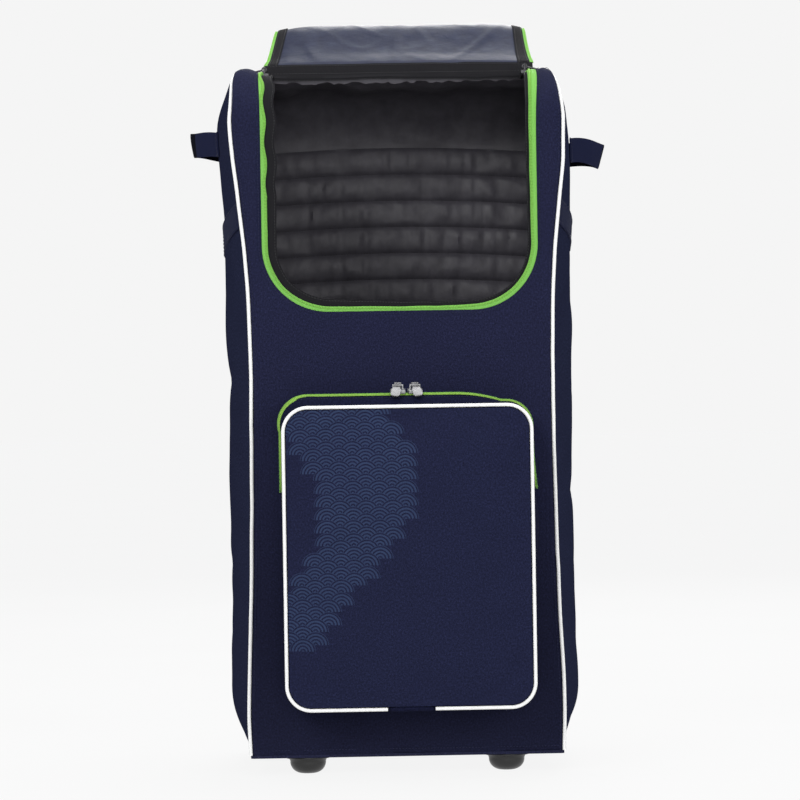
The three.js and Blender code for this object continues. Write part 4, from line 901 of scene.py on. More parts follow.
def make_top_and_back():
    """The panels behind the hinge and down the back."""
    shares = np.linspace(-1, 1, 61)
    for name, node, low, high in (
        ("top_cloth", "top_panel", HINGE_RUN, run_at(4)),
        ("back_cloth", "back_panel", run_at(4) + FIT, TOTAL_RUN - LOW_RUN),
    ):
        run = dense((low, high), 8)[:, None] + 0 * shares
        x = shares * (seam_half(run) - SEAM_INSET)
        seam = seam_half(run) - np.abs(x)
        folds = 1.2 * blotch(x, run, 170, 41, 2) + 1.0 * blotch(x + run * 0.3, run, 70, 43, 2)
        folds = folds * (1 - near(seam, 6)) + 0.5 * near(seam, 14) * blotch(x * 0.3, run, 13, 7, 1)
        calm = 1 - near(run - HINGE_RUN, 12)
        skin = shell_point(x, run, folds * calm)
        inner = shell_point(x, run, folds * calm - PANEL_WALL)
        add_wall(name, skin, inner, [navy_cloth, black_lining], [node],
                 cloth_map(x, run))


def gusset_point(side, run, share, folds):
    """Points of a side wall by the front run of their level and their share of the depth."""
    back = run_at(5 - station_at(run))
    fy, fz, fny, fnz = profile_at(run)
    by, bz, bny, bnz = profile_at(back)
    y = (fy - fny * GUSSET_INSET) * (1 - share) + (by - bny * GUSSET_INSET) * share
    z = (fz - fnz * GUSSET_INSET) * (1 - share) + (bz - bnz * GUSSET_INSET) * share
    rim = seam_half(run) * (1 - share) + seam_half(back) * share
    low = np.clip((z - LOW_RUN) / GUSSET_END_RISE, 0, 1)
    high = np.clip((BAG_HEIGHT - GUSSET_INSET - z) / GUSSET_END_RISE, 0, 1)
    ends = (1 - (1 - low) ** 2) * (1 - (1 - high) ** 2.2)
    across = 1 - np.abs(2 * share - 1) ** 2.2
    level = ease(BULGE_ROWS[side], station_at(run))
    bulge = GUSSET_BULGE * level * across * ends + folds * across ** 0.5 * ends
    return np.stack([side * (rim + bulge), y, z], -1)


def side_folds(side, run, share):
    """Soft buckles of a side wall, in millimetres."""
    seed = 50 + side
    depth = share * BAG_DEPTH
    wide = 1.6 * blotch(depth, run, 190, seed, 2)
    slant = 1.7 * blotch(depth + run * 0.5, run - depth * 0.4, 85, seed + 7, 2)
    return wide + slant


def side_skin(side, y, z):
    """How far out a side wall stands at places on it."""
    share = np.clip((y - FRONT_Y - GUSSET_INSET) / (BAG_DEPTH - 2 * GUSSET_INSET), 0, 1)
    run = np.clip(z, LOW_RUN, MARKS[1])
    return gusset_point(side, run, share, side_folds(side, run, share))[..., 0]


def make_sides():
    """The side walls, with dents of their own."""
    share = (1 - np.cos(math.pi * np.linspace(0, 1, 49))) / 2
    for name, side in SIDES:
        run = dense((LOW_RUN, run_at(2)), 8)[:, None] + 0 * share
        at = share + 0 * run
        folds = side_folds(side, run, at)
        skin = gusset_point(side, run, at, folds)
        sewn = (at < 0.02) | (at > 0.98) | (run < LOW_RUN + 8) | (run > run_at(2) - 12)
        # The loop and the tab hold the cloth still
        sewn |= (np.abs(skin[..., 2] - 740) < 70) & (at < 0.75)
        skin = settle(skin, sewn, (side, 0, 0), 1.0, 0.004, 2.2)
        inner = skin - np.array([side * PANEL_WALL, 0, 0])
        uv = cloth_map(at * BAG_DEPTH, run)
        add_wall(f"side_cloth_{name}", skin, inner, [side_cloth, black_lining],
                 [f"gusset_{name}"], uv)


def carry(node, finish):
    """A hard node whose shape is right, as the board under the bag, keeps its solid."""
    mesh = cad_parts[node].data
    mesh.materials.clear()
    mesh.materials.append(finish)


def seam_line(side, inset, outward):
    """A line down a panel at an inset from its side seam, with its outward directions."""
    run = dense((LOW_RUN, TOTAL_RUN - LOW_RUN), 6.0)
    x = side * (seam_half(run) - inset)
    return shell_point(x, run, outward), out_at(run)


def make_piping():
    """The white cords in the side seams."""
    run = dense((LOW_RUN, TOTAL_RUN - LOW_RUN), 4)
    y, z, ny, nz = profile_at(run)
    for name, side in SIDES:
        wave = 0.35 * blotch(run, 0 * run, 55, 60 + side, 2)
        dip = ease(DIP_ROWS, station_at(run))
        sink = PIPING_SINK - 0.5 + 3.4 * dip
        x = side * (seam_half(run) + wave - 1.2 * dip)
        centres = np.stack([x, y - ny * sink, z - nz * sink], -1)
        across = np.tile([1.0, 0, 0], (len(run), 1))
        add_cord(f"seam_cord_{name}", centres, across, out_at(run), CORD_RADIUS, white_cord,
                 [f"piping_{name}"])


def make_opening_trim():
    """Tape, binding and coil round the opening. Gives the lines of their stitches."""
    path = opening_path(4.0)
    share = np.linspace(0, 1, len(path))
    near_top = np.where((path[:, 1] > CORNER_RUN + 60) & (path[:, 0] < 0), 1.0, 0.0)
    ripple = 1.5 * near_top * np.sin(path[:, 1] / 8.5)
    ripple = ripple + 0.4 * blotch(path[:, 1], path[:, 0], 30, 71, 2)
    tape = ZIP_WIDTH * ease(TAPE_ROWS, share) + ripple
    binding = BINDING_WIDTH * ease(BINDING_ROWS, share)
    length = path_length(path[:, 0], path[:, 1])

    def strip(first, last, columns, height):
        inset = first[:, None] + (last - first)[:, None] * np.linspace(0, 1, columns)
        x = path[:, :1] + path[:, 2:3] * inset
        run = np.minimum(path[:, 1:2] + path[:, 3:4] * inset, HINGE_RUN - 2.2)
        skin = shell_point(x, run, height(inset, first[:, None], last[:, None]))
        return skin, cloth_map(inset, length[:, None])

    start = np.full(len(path), FIT)

    def swell(inset, low, high):
        share = np.clip((inset - low) / (high - low), 0, 1)
        return -FIT - 0.2 + 0.9 * np.sin(math.pi * share) ** 0.6

    def flat(inset, low, high):
        curl = 0.5 * np.sin(length / 9.0)[:, None]
        return -2.9 + curl * (inset - low) / (high - low)

    skin, uv = strip(start, tape, 9, swell)
    inner, _ = strip(start, tape, 9, lambda *_: -FIT - 2.0)
    add_wall("opening_zip_tape", skin, inner, green_tape, ["main_zip"], uv)
    skin, uv = strip(tape - 3, tape + binding, 7, flat)
    inner, _ = strip(tape - 3, tape + binding, 7, lambda *a: flat(*a) - 1.5)
    add_wall("opening_tape", skin, inner, black_tape, ["opening_binding"], uv)
    last_run = HINGE_RUN - 3

    def line(inset):
        return path[:, 0] + path[:, 2] * inset, np.minimum(path[:, 1] + path[:, 3] * inset, last_run)

    x, run = line(tape - 2.0)
    add_beads("opening_coil", [(shell_point(x, run, 0.5), out_at(run))], 1.9, 1.25, 4.2, 2.2,
              green_coil)
    x, run = line(-3.2)
    out = out_at(run)
    on_cloth = (shell_point(x, run, 0.15), out)
    on_tape = (shell_point(*line(tape + binding * 0.8), -2.6), out)
    return on_cloth, on_tape


def make_back_lining():
    """Slack lining under the top and quilted channels down the back. Gives their seams."""
    quilt_top = run_at(4) + QUILT_ARCH
    quilt_end = quilt_top + QUILT_CHANNELS * QUILT_PITCH
    across = np.linspace(-1, 1, 91)
    run = np.concatenate([
        dense((HINGE_RUN, quilt_top), 5)[:-1], dense((quilt_top, quilt_end), 3.0)[:-1],
        dense((quilt_end, TOTAL_RUN - LINING_HEM), 8),
    ])[:, None] + 0 * across
    at = across + 0 * run
    half = seam_half(run) - SEAM_INSET - LINING_SIDE_GAP
    x = at * half
    channel = (run - quilt_top) / QUILT_PITCH
    inside = (channel > 0) & (channel < QUILT_CHANNELS)
    pillow = np.abs(np.sin(math.pi * channel)) ** 0.55
    pucker = 1 + 0.3 * blotch(x, run * 0.15, 9, 81, 2)
    pad = np.where(inside, (QUILT_PAD - QUILT_SEAM_WALL) * pillow * pucker, 0)
    slack = np.clip((quilt_top - run) / 60, 0, 1) * np.clip((run - HINGE_RUN) / 30, 0, 1)
    fold = slack * (7.0 * ease(FOLD_ROWS, at) + 3.5 * blotch(x, run * 0.35, 38, 83, 3))
    gather = near(run - HINGE_RUN - 4, 16) * 2.2 * blotch(x, run * 0.2, 8, 85, 2)
    loose = 1.2 * blotch(x, run, 44, 87, 3) + np.where(inside, 0.8 * crease(x, run, 26, 89), 0)
    fade = np.clip((run - quilt_end) / 20, 0, 1)
    body = QUILT_SEAM_WALL + pad + fold + gather + loose * (1 - 0.3 * fade)
    arch = QUILT_ARCH * (1 - at ** 2) * np.clip((run - quilt_top + 30) / 30, 0, 1)
    raised = run - arch * np.clip((TOTAL_RUN - run) / 200, 0, 1)
    skin = shell_point(x, raised, -PANEL_WALL - 2 * FIT - np.maximum(body, 1.2))
    inner = shell_point(x, raised, -PANEL_WALL - 2 * FIT)
    top = np.stack([x[0], 0 * x[0] + HINGE_Y - 2.6, 0 * x[0] + BAG_HEIGHT + 1.5], -1)
    skin, run = np.concatenate([top[None], skin]), np.concatenate([run[:1] - 6, run])
    inner, x = np.concatenate([top[None] + np.array([0, 1.6, 0]), inner]), np.concatenate([x[:1], x])
    lining = add_wall("quilted_lining", skin, inner, black_lining, ["back_lining"],
                      cloth_map(x, run))
    seams = []
    for k in range(QUILT_CHANNELS + 1):
        row = int(np.argmin(np.abs(run[:, 0] - quilt_top - k * QUILT_PITCH)))
        out = out_at(raised[row - 1])
        seams.append((skin[row] - 0.1 * out, -out))
    return seams


# Lid, thrown back over the top

LID_LENGTH = HINGE_RUN - OPENING_BOTTOM
LID_STRAIGHT = LID_LENGTH - OPENING_CORNER


def lid_path():
    """Side profile of the lid from its hinge, one point a millimetre."""
    run = np.arange(int(math.ceil(LID_LENGTH)))
    angle = np.radians(ease(LID_ROWS, (run + 0.5) / LID_LENGTH))
    y = HINGE_Y + FIT + np.concatenate([[0], np.cumsum(np.cos(angle))])
    z = BAG_HEIGHT + LID_SHELL_WALL / 2 + 2 * FIT + np.concatenate([[0], np.cumsum(np.sin(angle))])
    return y, z


LID_Y, LID_Z = lid_path()
LID_RISE = np.maximum.accumulate(LID_Z)


def lid_point(x, run, above):
    """Points of the lid at widths, runs from the hinge and heights over its shell."""
    x, run, above = np.broadcast_arrays(*(np.asarray(a, float) for a in (x, run, above)))
    steps = np.arange(len(LID_Y))
    angle = np.radians(ease(LID_ROWS, run / LID_LENGTH))
    fade = np.clip(run / LID_BINDING_WIDTH / 4, 0, 1)
    lift = above - LID_DROOP * fade * (np.abs(x) / LID_HALF_WIDTH) ** 8
    y, z = np.interp(run, steps, LID_Y), np.interp(run, steps, LID_Z)
    grown = (np.interp(run, steps, LID_RISE) - LID_RISE[0]) / (LID_RISE[-1] - LID_RISE[0])
    x = x * (1 - LID_TAPER * grown) + LID_SHIFT * (0.2 + 0.8 * grown)
    return np.stack([x, y - lift * np.sin(angle), z + lift * np.cos(angle)], -1)


def lid_waves(x, run):
    """How the lid's sheet billows, in millimetres above its path."""
    grown = np.clip(run / 60, 0, 1) * (1 - near(LID_HALF_WIDTH - np.abs(x), 22))
    wide = 1.1 * blotch(x, run * 0.8, 120, 91, 2)
    ridge = 0.8 * crease(x + run * 0.25, run * 0.45, 90, 93)
    return grown * (wide + ridge - 2.2)


def lid_grid(inset, start, columns):
    """Widths and runs over the lid's form, at an inset from its edge."""
    radius = OPENING_CORNER - inset
    turn = np.linspace(0, math.pi / 2, 18)
    run = np.concatenate([
        dense((start, LID_STRAIGHT), 5)[:-1], LID_STRAIGHT + radius * np.sin(turn),
    ])
    half = np.concatenate([
        np.full(len(run) - len(turn), LID_HALF_WIDTH - inset),
        LID_HALF_WIDTH - OPENING_CORNER + radius * np.cos(turn),
    ])
    return half[:, None] * np.linspace(-1, 1, columns), run[:, None] + np.zeros(columns)


def lid_edge(first, last, columns, start):
    """Strip along the lid's edge between two insets."""
    runs = dense((start, LID_STRAIGHT), 4.0)[:-1]
    turn = np.linspace(0, math.pi / 2, 19)
    flat = np.linspace(-1, 1, 33)[1:-1]
    reach = LID_HALF_WIDTH - OPENING_CORNER
    inset = first + (last - first) * np.linspace(0, 1, columns)
    halves = []
    for side in (-1, 1):
        x = np.concatenate([
            side * (LID_HALF_WIDTH - inset) + 0 * runs[:, None],
            side * (reach + (OPENING_CORNER - inset) * np.cos(turn)[:, None]),
        ])
        run = np.concatenate([
            runs[:, None] + 0 * inset,
            LID_STRAIGHT + (OPENING_CORNER - inset) * np.sin(turn)[:, None],
        ])
        halves.append(np.stack([x, run], -1))
    end = np.stack([flat[:, None] * reach + 0 * inset, LID_LENGTH - inset + 0 * flat[:, None]], -1)
    grid = np.concatenate([halves[0], end, halves[1][::-1]])
    return grid[..., 0], grid[..., 1]


def make_lid():
    """The lid, its lining, tapes and coil. Gives the lines of its stitches."""
    start = HINGE_BAND_HEIGHT + FIT
    x, run = lid_grid(0, 0, 71)
    waves = lid_waves(x, run)
    uv = cloth_map(x, run)
    shell = add_wall("lid_cloth", lid_point(x, run, waves),
                     lid_point(x, run, waves - LID_SHELL_WALL), [black_lining, navy_cloth],
                     ["lid_shell"], uv)
    edge = LID_ZIP_WIDTH + LID_BINDING_WIDTH + 2 * FIT
    x, run = lid_grid(edge - 3, start, 81)
    from_edge = near(LID_HALF_WIDTH - edge - np.abs(x), 9)
    crumple = crease(x * 0.8 + run * 0.35, run * 0.6, 48, 95) * (1 - from_edge)
    fine = 0.3 * blotch(x, run * 0.6, 22, 97, 2)
    grown = np.clip((run - start) / 26, 0, 1)
    bend = 2.2 * near(x + 8 - run * 0.05, 7) * near(run - 95, 75)
    bend = bend + 1.3 * near(x - 60 - run * 0.5, 6) * near(run - 90, 60) * (x > 0)
    height = lid_waves(x, run) + 2 * FIT + grown * (crumple + fine + bend)
    uv = cloth_map(x, run)
    sheet = add_wall("lid_inner_cloth", lid_point(x, run, height + 0.8),
                     lid_point(x, run, height - 0.5), lid_lining,
                     ["lid_lining"], uv)
    x, run = lid_edge(LID_ZIP_WIDTH + FIT, edge, 7, start)
    length = path_length(x[:, 3], run[:, 3])[:, None]
    uv = cloth_map((x - x[:, :1]) + (run - run[:, :1]), length)
    flat = lid_waves(x, run) + 2 * FIT
    tape = add_wall("lid_tape", lid_point(x, run, flat + 2.0), lid_point(x, run, flat), black_tape,
                    ["lid_binding"], uv)
    on_tape = lid_point(x, run, flat + 2.1)
    stitched = [(on_tape[:, column], lid_up(run[:, column])) for column in (1, 5)]
    x, run = lid_edge(-0.7, LID_ZIP_WIDTH, 6, start)
    flat = lid_waves(x, run) + FIT
    uv = cloth_map((x - x[:, :1]) + (run - run[:, :1]), length)
    zip_tape = add_wall("lid_zip_tape", lid_point(x, run, flat + 1.6), lid_point(x, run, flat),
                        green_tape, ["lid_zip"], uv)
    x, run = lid_edge(-0.2, 1.2, 2, start)
    coil = add_beads("lid_coil", [(lid_point(x, run, FIT + 1.2)[:, 0], lid_up(run[:, 0]))],
                     1.9, 1.25, 2.8, 3.0, green_coil)
    return stitched


def lid_up(run):
    """Directions out of the lid."""
    angle = np.radians(ease(LID_ROWS, run / LID_LENGTH))
    return np.stack([0 * angle, -np.sin(angle), np.cos(angle)], -1)


def make_hinge_band():
    """The black band where the lid joins the bag. Gives the lines of its stitches."""
    across = np.linspace(-1, 1, 91)
    x = across * LID_HALF_WIDTH
    tail = np.linspace(-HINGE_BAND_TAIL, 0, 7)
    sag = 1.4 * blotch(x, 0 * x, 60, 101, 2)
    low = np.stack(np.broadcast_arrays(x, HINGE_Y - FIT, BAG_HEIGHT + tail[:, None] + sag), -1)
    run = np.concatenate([[2.0], np.linspace(4, HINGE_BAND_HEIGHT, 8)])[:, None] + 0 * x
    lump = 0.5 * blotch(x, run[:, :1], 24, 103, 2)
    skin = np.concatenate([
        low - np.array([0, 3.0 + HINGE_BAND_WALL, 0]),
        lid_point(x, run, 2 * FIT + HINGE_BAND_WALL + lump),
    ])
    inner = np.concatenate([low - np.array([0, 3.0, 0]), lid_point(x, run, 2 * FIT)])
    uv = cloth_map(x, np.linspace(0, 33, len(skin))[:, None])
    add_wall("hinge_tape", skin, inner, black_tape, ["hinge_band"], uv)
    out = np.tile([0.0, -0.8, 0.3], (len(x), 1))
    return [(skin[row] + np.array([0, -0.15, 0]), out) for row in (1, 8, 14)]


# Front pocket

POCKET_MIDDLE = POCKET_BOTTOM + POCKET_HEIGHT / 2
POCKET_FACE_Y = FRONT_Y - FRONT_CROWN - POCKET_DEPTH
POCKET_FLAT_X = POCKET_HALF_WIDTH - POCKET_CORNER
POCKET_FLAT_Z = POCKET_HEIGHT / 2 - POCKET_CORNER


def pocket_outline(step=6.0, turns=14):
    """Places round the pocket's face from the bottom middle, as corner centre and direction."""
    rows = []

    def straight(a, b, nx, nz):
        count = max(int(np.hypot(b[0] - a[0], b[1] - a[1]) / step), 1)
        for t in np.linspace(0, 1, count + 1)[1:]:
            rows.append((a[0] + (b[0] - a[0]) * t, a[1] + (b[1] - a[1]) * t, nx, nz))

    def corner(sx, sz, start):
        for angle in np.linspace(start, start + math.pi / 2, turns + 1)[1:]:
            rows.append((sx * POCKET_FLAT_X, sz * POCKET_FLAT_Z, math.cos(angle), math.sin(angle)))

    fx, fz = POCKET_FLAT_X, POCKET_FLAT_Z
    rows.append((0.0, -fz, 0.0, -1.0))
    straight((0, -fz), (fx, -fz), 0, -1)
    corner(1, -1, -math.pi / 2)
    straight((fx, -fz), (fx, fz), 1, 0)
    corner(1, 1, 0)
    straight((fx, fz), (-fx, fz), 0, 1)
    corner(-1, 1, math.pi / 2)
    straight((-fx, fz), (-fx, -fz), -1, 0)
    corner(-1, -1, math.pi)
    straight((-fx, -fz), (0, -fz), 0, -1)
    return np.array(rows[:-1])


def pocket_edge(steps, offset):
    """Places round the pocket's face, pushed out by an offset."""
    reach = POCKET_CORNER + offset
    x = POCKET_SHIFT + steps[..., 0] + steps[..., 2] * reach
    z = POCKET_MIDDLE + steps[..., 1] + steps[..., 3] * reach
    return x, z


def pocket_swell(steps, puff):
    """How far the pocket's side strip swells beyond its face."""
    up, level = steps[..., 3], steps[..., 1] / POCKET_FLAT_Z
    tuck = np.clip((steps[..., 0] - 60) / 60, 0, 1) ** 2
    upward = np.where(up > 0, 0.2 + 0.8 * up * (1 - 0.85 * tuck), 0.2 + 0.1 * up)
    upward = upward - 0.17 * tuck * near(level - 1, 0.4) * np.clip(1 - up, 0, 1)
    bulge = np.where(steps[..., 2] > 0.9, POCKET_SIDE_BULGE * near(level - 0.25, 0.35), 0)
    return puff * (POCKET_PUFF * upward + bulge)


def pocket_strip(steps, depth, lift):
    """Points of the pocket's side strip at shares of its depth and heights over it."""
    steps, depth = steps[:, None, :], np.atleast_2d(depth)
    puff = np.interp(depth, *np.array(POCKET_SECTION).T)
    puff = ease(POCKET_SECTION, depth) * 0.5 + puff * 0.5
    x, z = pocket_edge(steps, pocket_swell(steps, puff) + lift)
    skin = shell_point(x, z, 1.6)[..., 1]
    y = POCKET_FACE_Y + (skin - POCKET_FACE_Y) * depth
    return np.stack([x, y, z], -1)


def strip_out(steps):
    """Outward directions round the pocket."""
    return np.stack([steps[:, 2], 0 * steps[:, 2], steps[:, 3]], -1)


def make_pocket_strip():
    """The pocket's side strip, all the way round."""
    steps = pocket_outline()
    depth = np.concatenate([np.linspace(0.08, 0.5, 18), np.linspace(0.5, 1, 10)[1:]])
    length = np.linspace(0, 2 * (320 + 390), len(steps))
    round_share = np.linspace(0, 1, len(steps))[:, None]
    waves = 0.9 * blotch(length[:, None], depth * 60, 46, 111, 2)
    waves = waves * np.sin(math.pi * depth) * np.sin(math.pi * round_share)
    skin = pocket_strip(steps, depth, waves)
    inner = pocket_strip(steps, depth, waves - 2.5)
    uv = cloth_map(length[:, None], depth * POCKET_DEPTH)
    add_wall("pocket_strip", skin, inner, [pocket_side_cloth, black_lining],
             ["pocket_gusset"], uv, ring=True)


def face_folds(u, v):
    """Slack and dents of the pocket's face, in millimetres out of it."""
    edge = np.minimum(1 - np.abs(u), 1 - np.abs(v))
    wide = 2.2 * blotch(u * 160, v * 195, 120, 121, 2)
    pull = 1.4 * near(u - 0.86, 0.2) * blotch(u * 160 + v * 60, v * 195 - u * 120, 34, 123, 2)
    at_corner = near(np.hypot(np.abs(u) - 0.9, v - 0.85), 0.3)
    corner = 1.8 * at_corner * blotch(u * 160 - v * 150, v * 40, 30, 125, 2)
    pucker = 0.5 * near(edge, 0.05) * blotch(u * 160, v * 195, 12, 127, 1)
    return (wide + pull + corner) * (1 - near(edge, 0.05)) + pucker


def make_pocket_face():
    """The pocket's face, with dents of its own."""
    steps = pocket_outline(8.0, 16)
    right = steps[(steps[:, 2] > 1e-6) | (steps[:, 0] > POCKET_FLAT_X - 1e-3)]
    rows_x, rows_z = pocket_edge(right, -(PIPING_RADIUS + FIT))
    order = np.argsort(rows_z)
    rows_x, rows_z = rows_x[order], rows_z[order]
    across = np.linspace(-1, 1, 65)
    x = POCKET_SHIFT + across * (rows_x[:, None] - POCKET_SHIFT)
    z = rows_z[:, None] + 0 * x
    u, v = (x - POCKET_SHIFT) / POCKET_HALF_WIDTH, (z - POCKET_MIDDLE) / (POCKET_HEIGHT / 2)
    crown = POCKET_CROWN * (1 - u ** 4) * (1 - v ** 4) + face_folds(u, v)
    skin = np.stack([x, POCKET_FACE_Y - crown, z], -1)
    sewn = (np.abs(u) > 0.93) | (np.abs(v) > 0.94) | (np.abs(across) > 0.97)
    skin = settle(skin, sewn, (0, -1, 0), 1.5, 0.006, 5.0)
    inner = skin + np.array([0, PANEL_WALL, 0])
    uv = cloth_map(x, z - POCKET_MIDDLE)
    add_wall("pocket_front_cloth", skin, inner, [pocket_cloth, black_lining],
             ["pocket_face"], uv)


def make_pocket_piping():
    """The cord round the pocket's face and the cloth over its joint."""
    steps = pocket_outline(5.0, 18)
    x, z = pocket_edge(steps, 0)
    out = strip_out(steps)
    y = np.full_like(x, POCKET_FACE_Y + PIPING_SINK)
    back = np.tile([0.0, 1.0, 0.0], (len(x), 1))
    centres = np.stack([x, y, z], -1)
    joint = PIPING_JOINT_WIDTH / 2
    bare = (np.abs(x - POCKET_SHIFT) > joint + FIT) | (z > POCKET_MIDDLE)
    add_cord("pocket_cord", centres[bare], out[bare], back[bare], CORD_RADIUS, white_cord,
             ["pocket_piping"])
    cover = np.linspace(-joint, joint, 19)
    centres = np.stack([POCKET_SHIFT + cover, 0 * cover + y[0], 0 * cover + POCKET_BOTTOM], -1)
    swell = 3.0 - 0.5 * near(np.abs(cover) - joint, 4)
    add_cord("pocket_cord_cover", centres, np.tile([0.0, 0, -1], (19, 1)), back[:19], swell,
             pocket_side_cloth, ["pocket_piping_joint"])


def make_pocket_zip():
    """Tape and coil over the pocket's top and sides. Gives the lines of their stitches."""
    steps = pocket_outline(3.0, 24)
    steps = steps[steps[:, 1] > 0.52 * POCKET_FLAT_Z]
    length = path_length(*pocket_edge(steps, 0))
    ends = np.clip(np.minimum(length, length[-1] - length) / 60, 0.02, 1) ** 0.5
    corner = (steps[:, 3] > 0.05) * (steps[:, 2] < -0.05)
    width = 0.1 * np.minimum(ends * 1.6, 1) * np.where(steps[:, 3] > 0.95, 0.34, 0.8) + 0.03 * corner
    depth = 0.35 + width[:, None] * np.linspace(-1, 1, 9)
    lift = (FIT + 1.4 * ends)[:, None] + 0.7 * np.sin(math.pi * np.linspace(0, 1, 9))
    skin, inner = pocket_strip(steps, depth, lift), pocket_strip(steps, depth, 0.2)
    uv = cloth_map(depth * POCKET_DEPTH, length[:, None])
    add_wall("pocket_zip_tape", skin, inner, pocket_green, ["pocket_zip"], uv)
    line = pocket_strip(steps, [0.35], 2.2)[:, 0]
    add_beads("pocket_coil", [(line, strip_out(steps))], 1.7, 1.2, 3.4, 1.8, green_coil)
    return [(pocket_strip(steps, [share], 0.25)[:, 0], strip_out(steps)) for share in (0.215, 0.49)]


# Webbing on the side walls

def loop_points(side, level, lift):
    """A line along a loop at a level of its width, lifted off its inner face."""
    span = np.linspace(LOOP_ROWS[0][0], LOOP_ROWS[-1][0], 97)
    reach = np.clip(ease(LOOP_ROWS, span), 0, 1.02)
    y = span * LOOP_SPAN
    reach_to, flare, sag, arch = LOOP_BENDS[side]
    z = LOOP_HEIGHT - side * LOOP_LEAN + level * WEBBING_WIDTH - reach * sag
    z = z + arch * reach * (1 - reach) + 1.2 * np.sin(span * 9) * reach
    base = side_skin(side, y, z) * side
    ripple = 0.7 * np.sin(span * 21 + level * 2) * reach
    x = base + 1.0 + reach * (reach_to + flare * level) + ripple
    path = np.stack([side * x, y, z], -1)
    along = unit(np.gradient(path, axis=0) * np.array([1, 1, 0]))
    out = np.stack([side * along[:, 1], -side * along[:, 0], 0 * y], -1)
    return path + out * lift


def make_webbing():
    """Loops and tabs on the side walls, with their stitches."""
    levels = np.linspace(-0.5, 0.5, 15)
    lines = []
    for name, side in SIDES:
        skin, inner = [], []
        for level in levels:
            rim = 0.5 * (np.abs(level) > 0.44)
            skin.append(loop_points(side, level, WEBBING_WALL - rim))
            inner.append(loop_points(side, level, rim))
        skin, inner = np.stack(skin, 1), np.stack(inner, 1)
        run = length_along(skin[:, 7])
        uv = cloth_map(run[:, None], levels * WEBBING_WIDTH)
        loop = add_wall(f"carry_loop_{name}", skin, inner, [webbing_cloth, webbing_painted_shade],
                        [f"side_loop_{name}"], uv)
        columns = len(levels) - 1
        # Painted shade: faces over the loop's outer fold take the dark webbing
        for face in range(LOOP_PAINTED_SHADE_STEPS[side][0] * columns, LOOP_PAINTED_SHADE_STEPS[side][1] * columns):
            loop.data.polygons[face].material_index = 1
        for low, high in ((0, 10), (86, 96)):
            out = np.tile([float(side), 0, 0], (11, 1))
            for column in (1, 13):
                lines.append((skin[low:high + 1, column] + out * 0.2, out))
            for row in (low + 1, high - 1):
                wide_out = np.tile([float(side), 0, 0], (13, 1))
                lines.append((skin[row, 1:14] + out[:1] * 0.2, wide_out))
            rows = low + 1 + np.arange(9)
            slant = np.array([1 + int(round(i * 12 / 8)) for i in range(9)])
            for columns_at in (slant, 14 - slant):
                lines.append((skin[rows, columns_at] + out[:9] * 0.2, out[:9]))
        along = np.linspace(0, 1, 40)
        start = FRONT_Y + GUSSET_INSET + PANEL_WALL
        y = start + along[:, None] * TAB_LENGTH + 0 * levels
        z = TAB_TOP - along[:, None] * TAB_DROP + (levels - 0.5) * WEBBING_WIDTH
        base = side_skin(side, y, z)
        rim = 0.6 * (np.abs(levels) > 0.44)
        skin = np.stack([base + side * (WEBBING_WALL + 1 - rim), y, z], -1)
        inner = np.stack([base + side * 0.6, y, z], -1)
        uv = cloth_map(along[:, None] * TAB_LENGTH, levels * WEBBING_WIDTH)
        add_wall(f"slant_tab_{name}", skin, inner, webbing_cloth,
                 [f"side_tab_{name}"], uv)
        out = np.tile([float(side), 0, 0], (40, 1))
        lines += [(skin[:, column] + out * 0.2, out) for column in (1, 13)]
        lines += [(skin[row, 1:14] + out[:1] * 0.2, out[:13]) for row in (2, 37)]
    add_beads("webbing_stitches", lines, 4.2, 3.3, 0.9, 0.8, navy_thread)


# Hard fittings

def add_turned(name, profile, centre, axis, finish, nodes, body="bag", sides=64, sharp=35):
    """A turned piece of radii and heights. A profile that ends where it starts makes a ring."""
    profile = np.array(profile, float)
    angle = np.arange(sides) * 2 * math.pi / sides
    a, b = np.eye(3)[(axis + 1) % 3], np.eye(3)[(axis + 2) % 3]
    spin = np.cos(angle)[:, None] * a + np.sin(angle)[:, None] * b
    rings = profile[:, 0, None, None] * spin + profile[:, 1, None, None] * np.eye(3)[axis]
    count = len(profile)
    faces = tube_faces(count, sides)
    if np.allclose(profile[0], profile[-1]):
        faces = [tuple(v % ((count - 1) * sides) for v in face) for face in faces[:-2]]
        rings = rings[:-1]
    add_piece(name, rings.reshape(-1, 3) + centre, faces, finish, nodes, body, sharp=sharp)


def rounded(corners, radius, steps=5):
    """A profile whose corners are rounded off, as moulded pieces are."""
    corners = [np.array(c, float) for c in corners]
    made = [corners[0]]
    for before, at, after in zip(corners, corners[1:], corners[2:]):
        a, b = before - at, after - at
        cut = min(radius, np.linalg.norm(a) * 0.45, np.linalg.norm(b) * 0.45)
        first, last = at + a / np.linalg.norm(a) * cut, at + b / np.linalg.norm(b) * cut
        for t in np.linspace(0, 1, steps):
            made.append((1 - t) ** 2 * first + 2 * t * (1 - t) * at + t ** 2 * last)
    made.append(corners[-1])
    return made


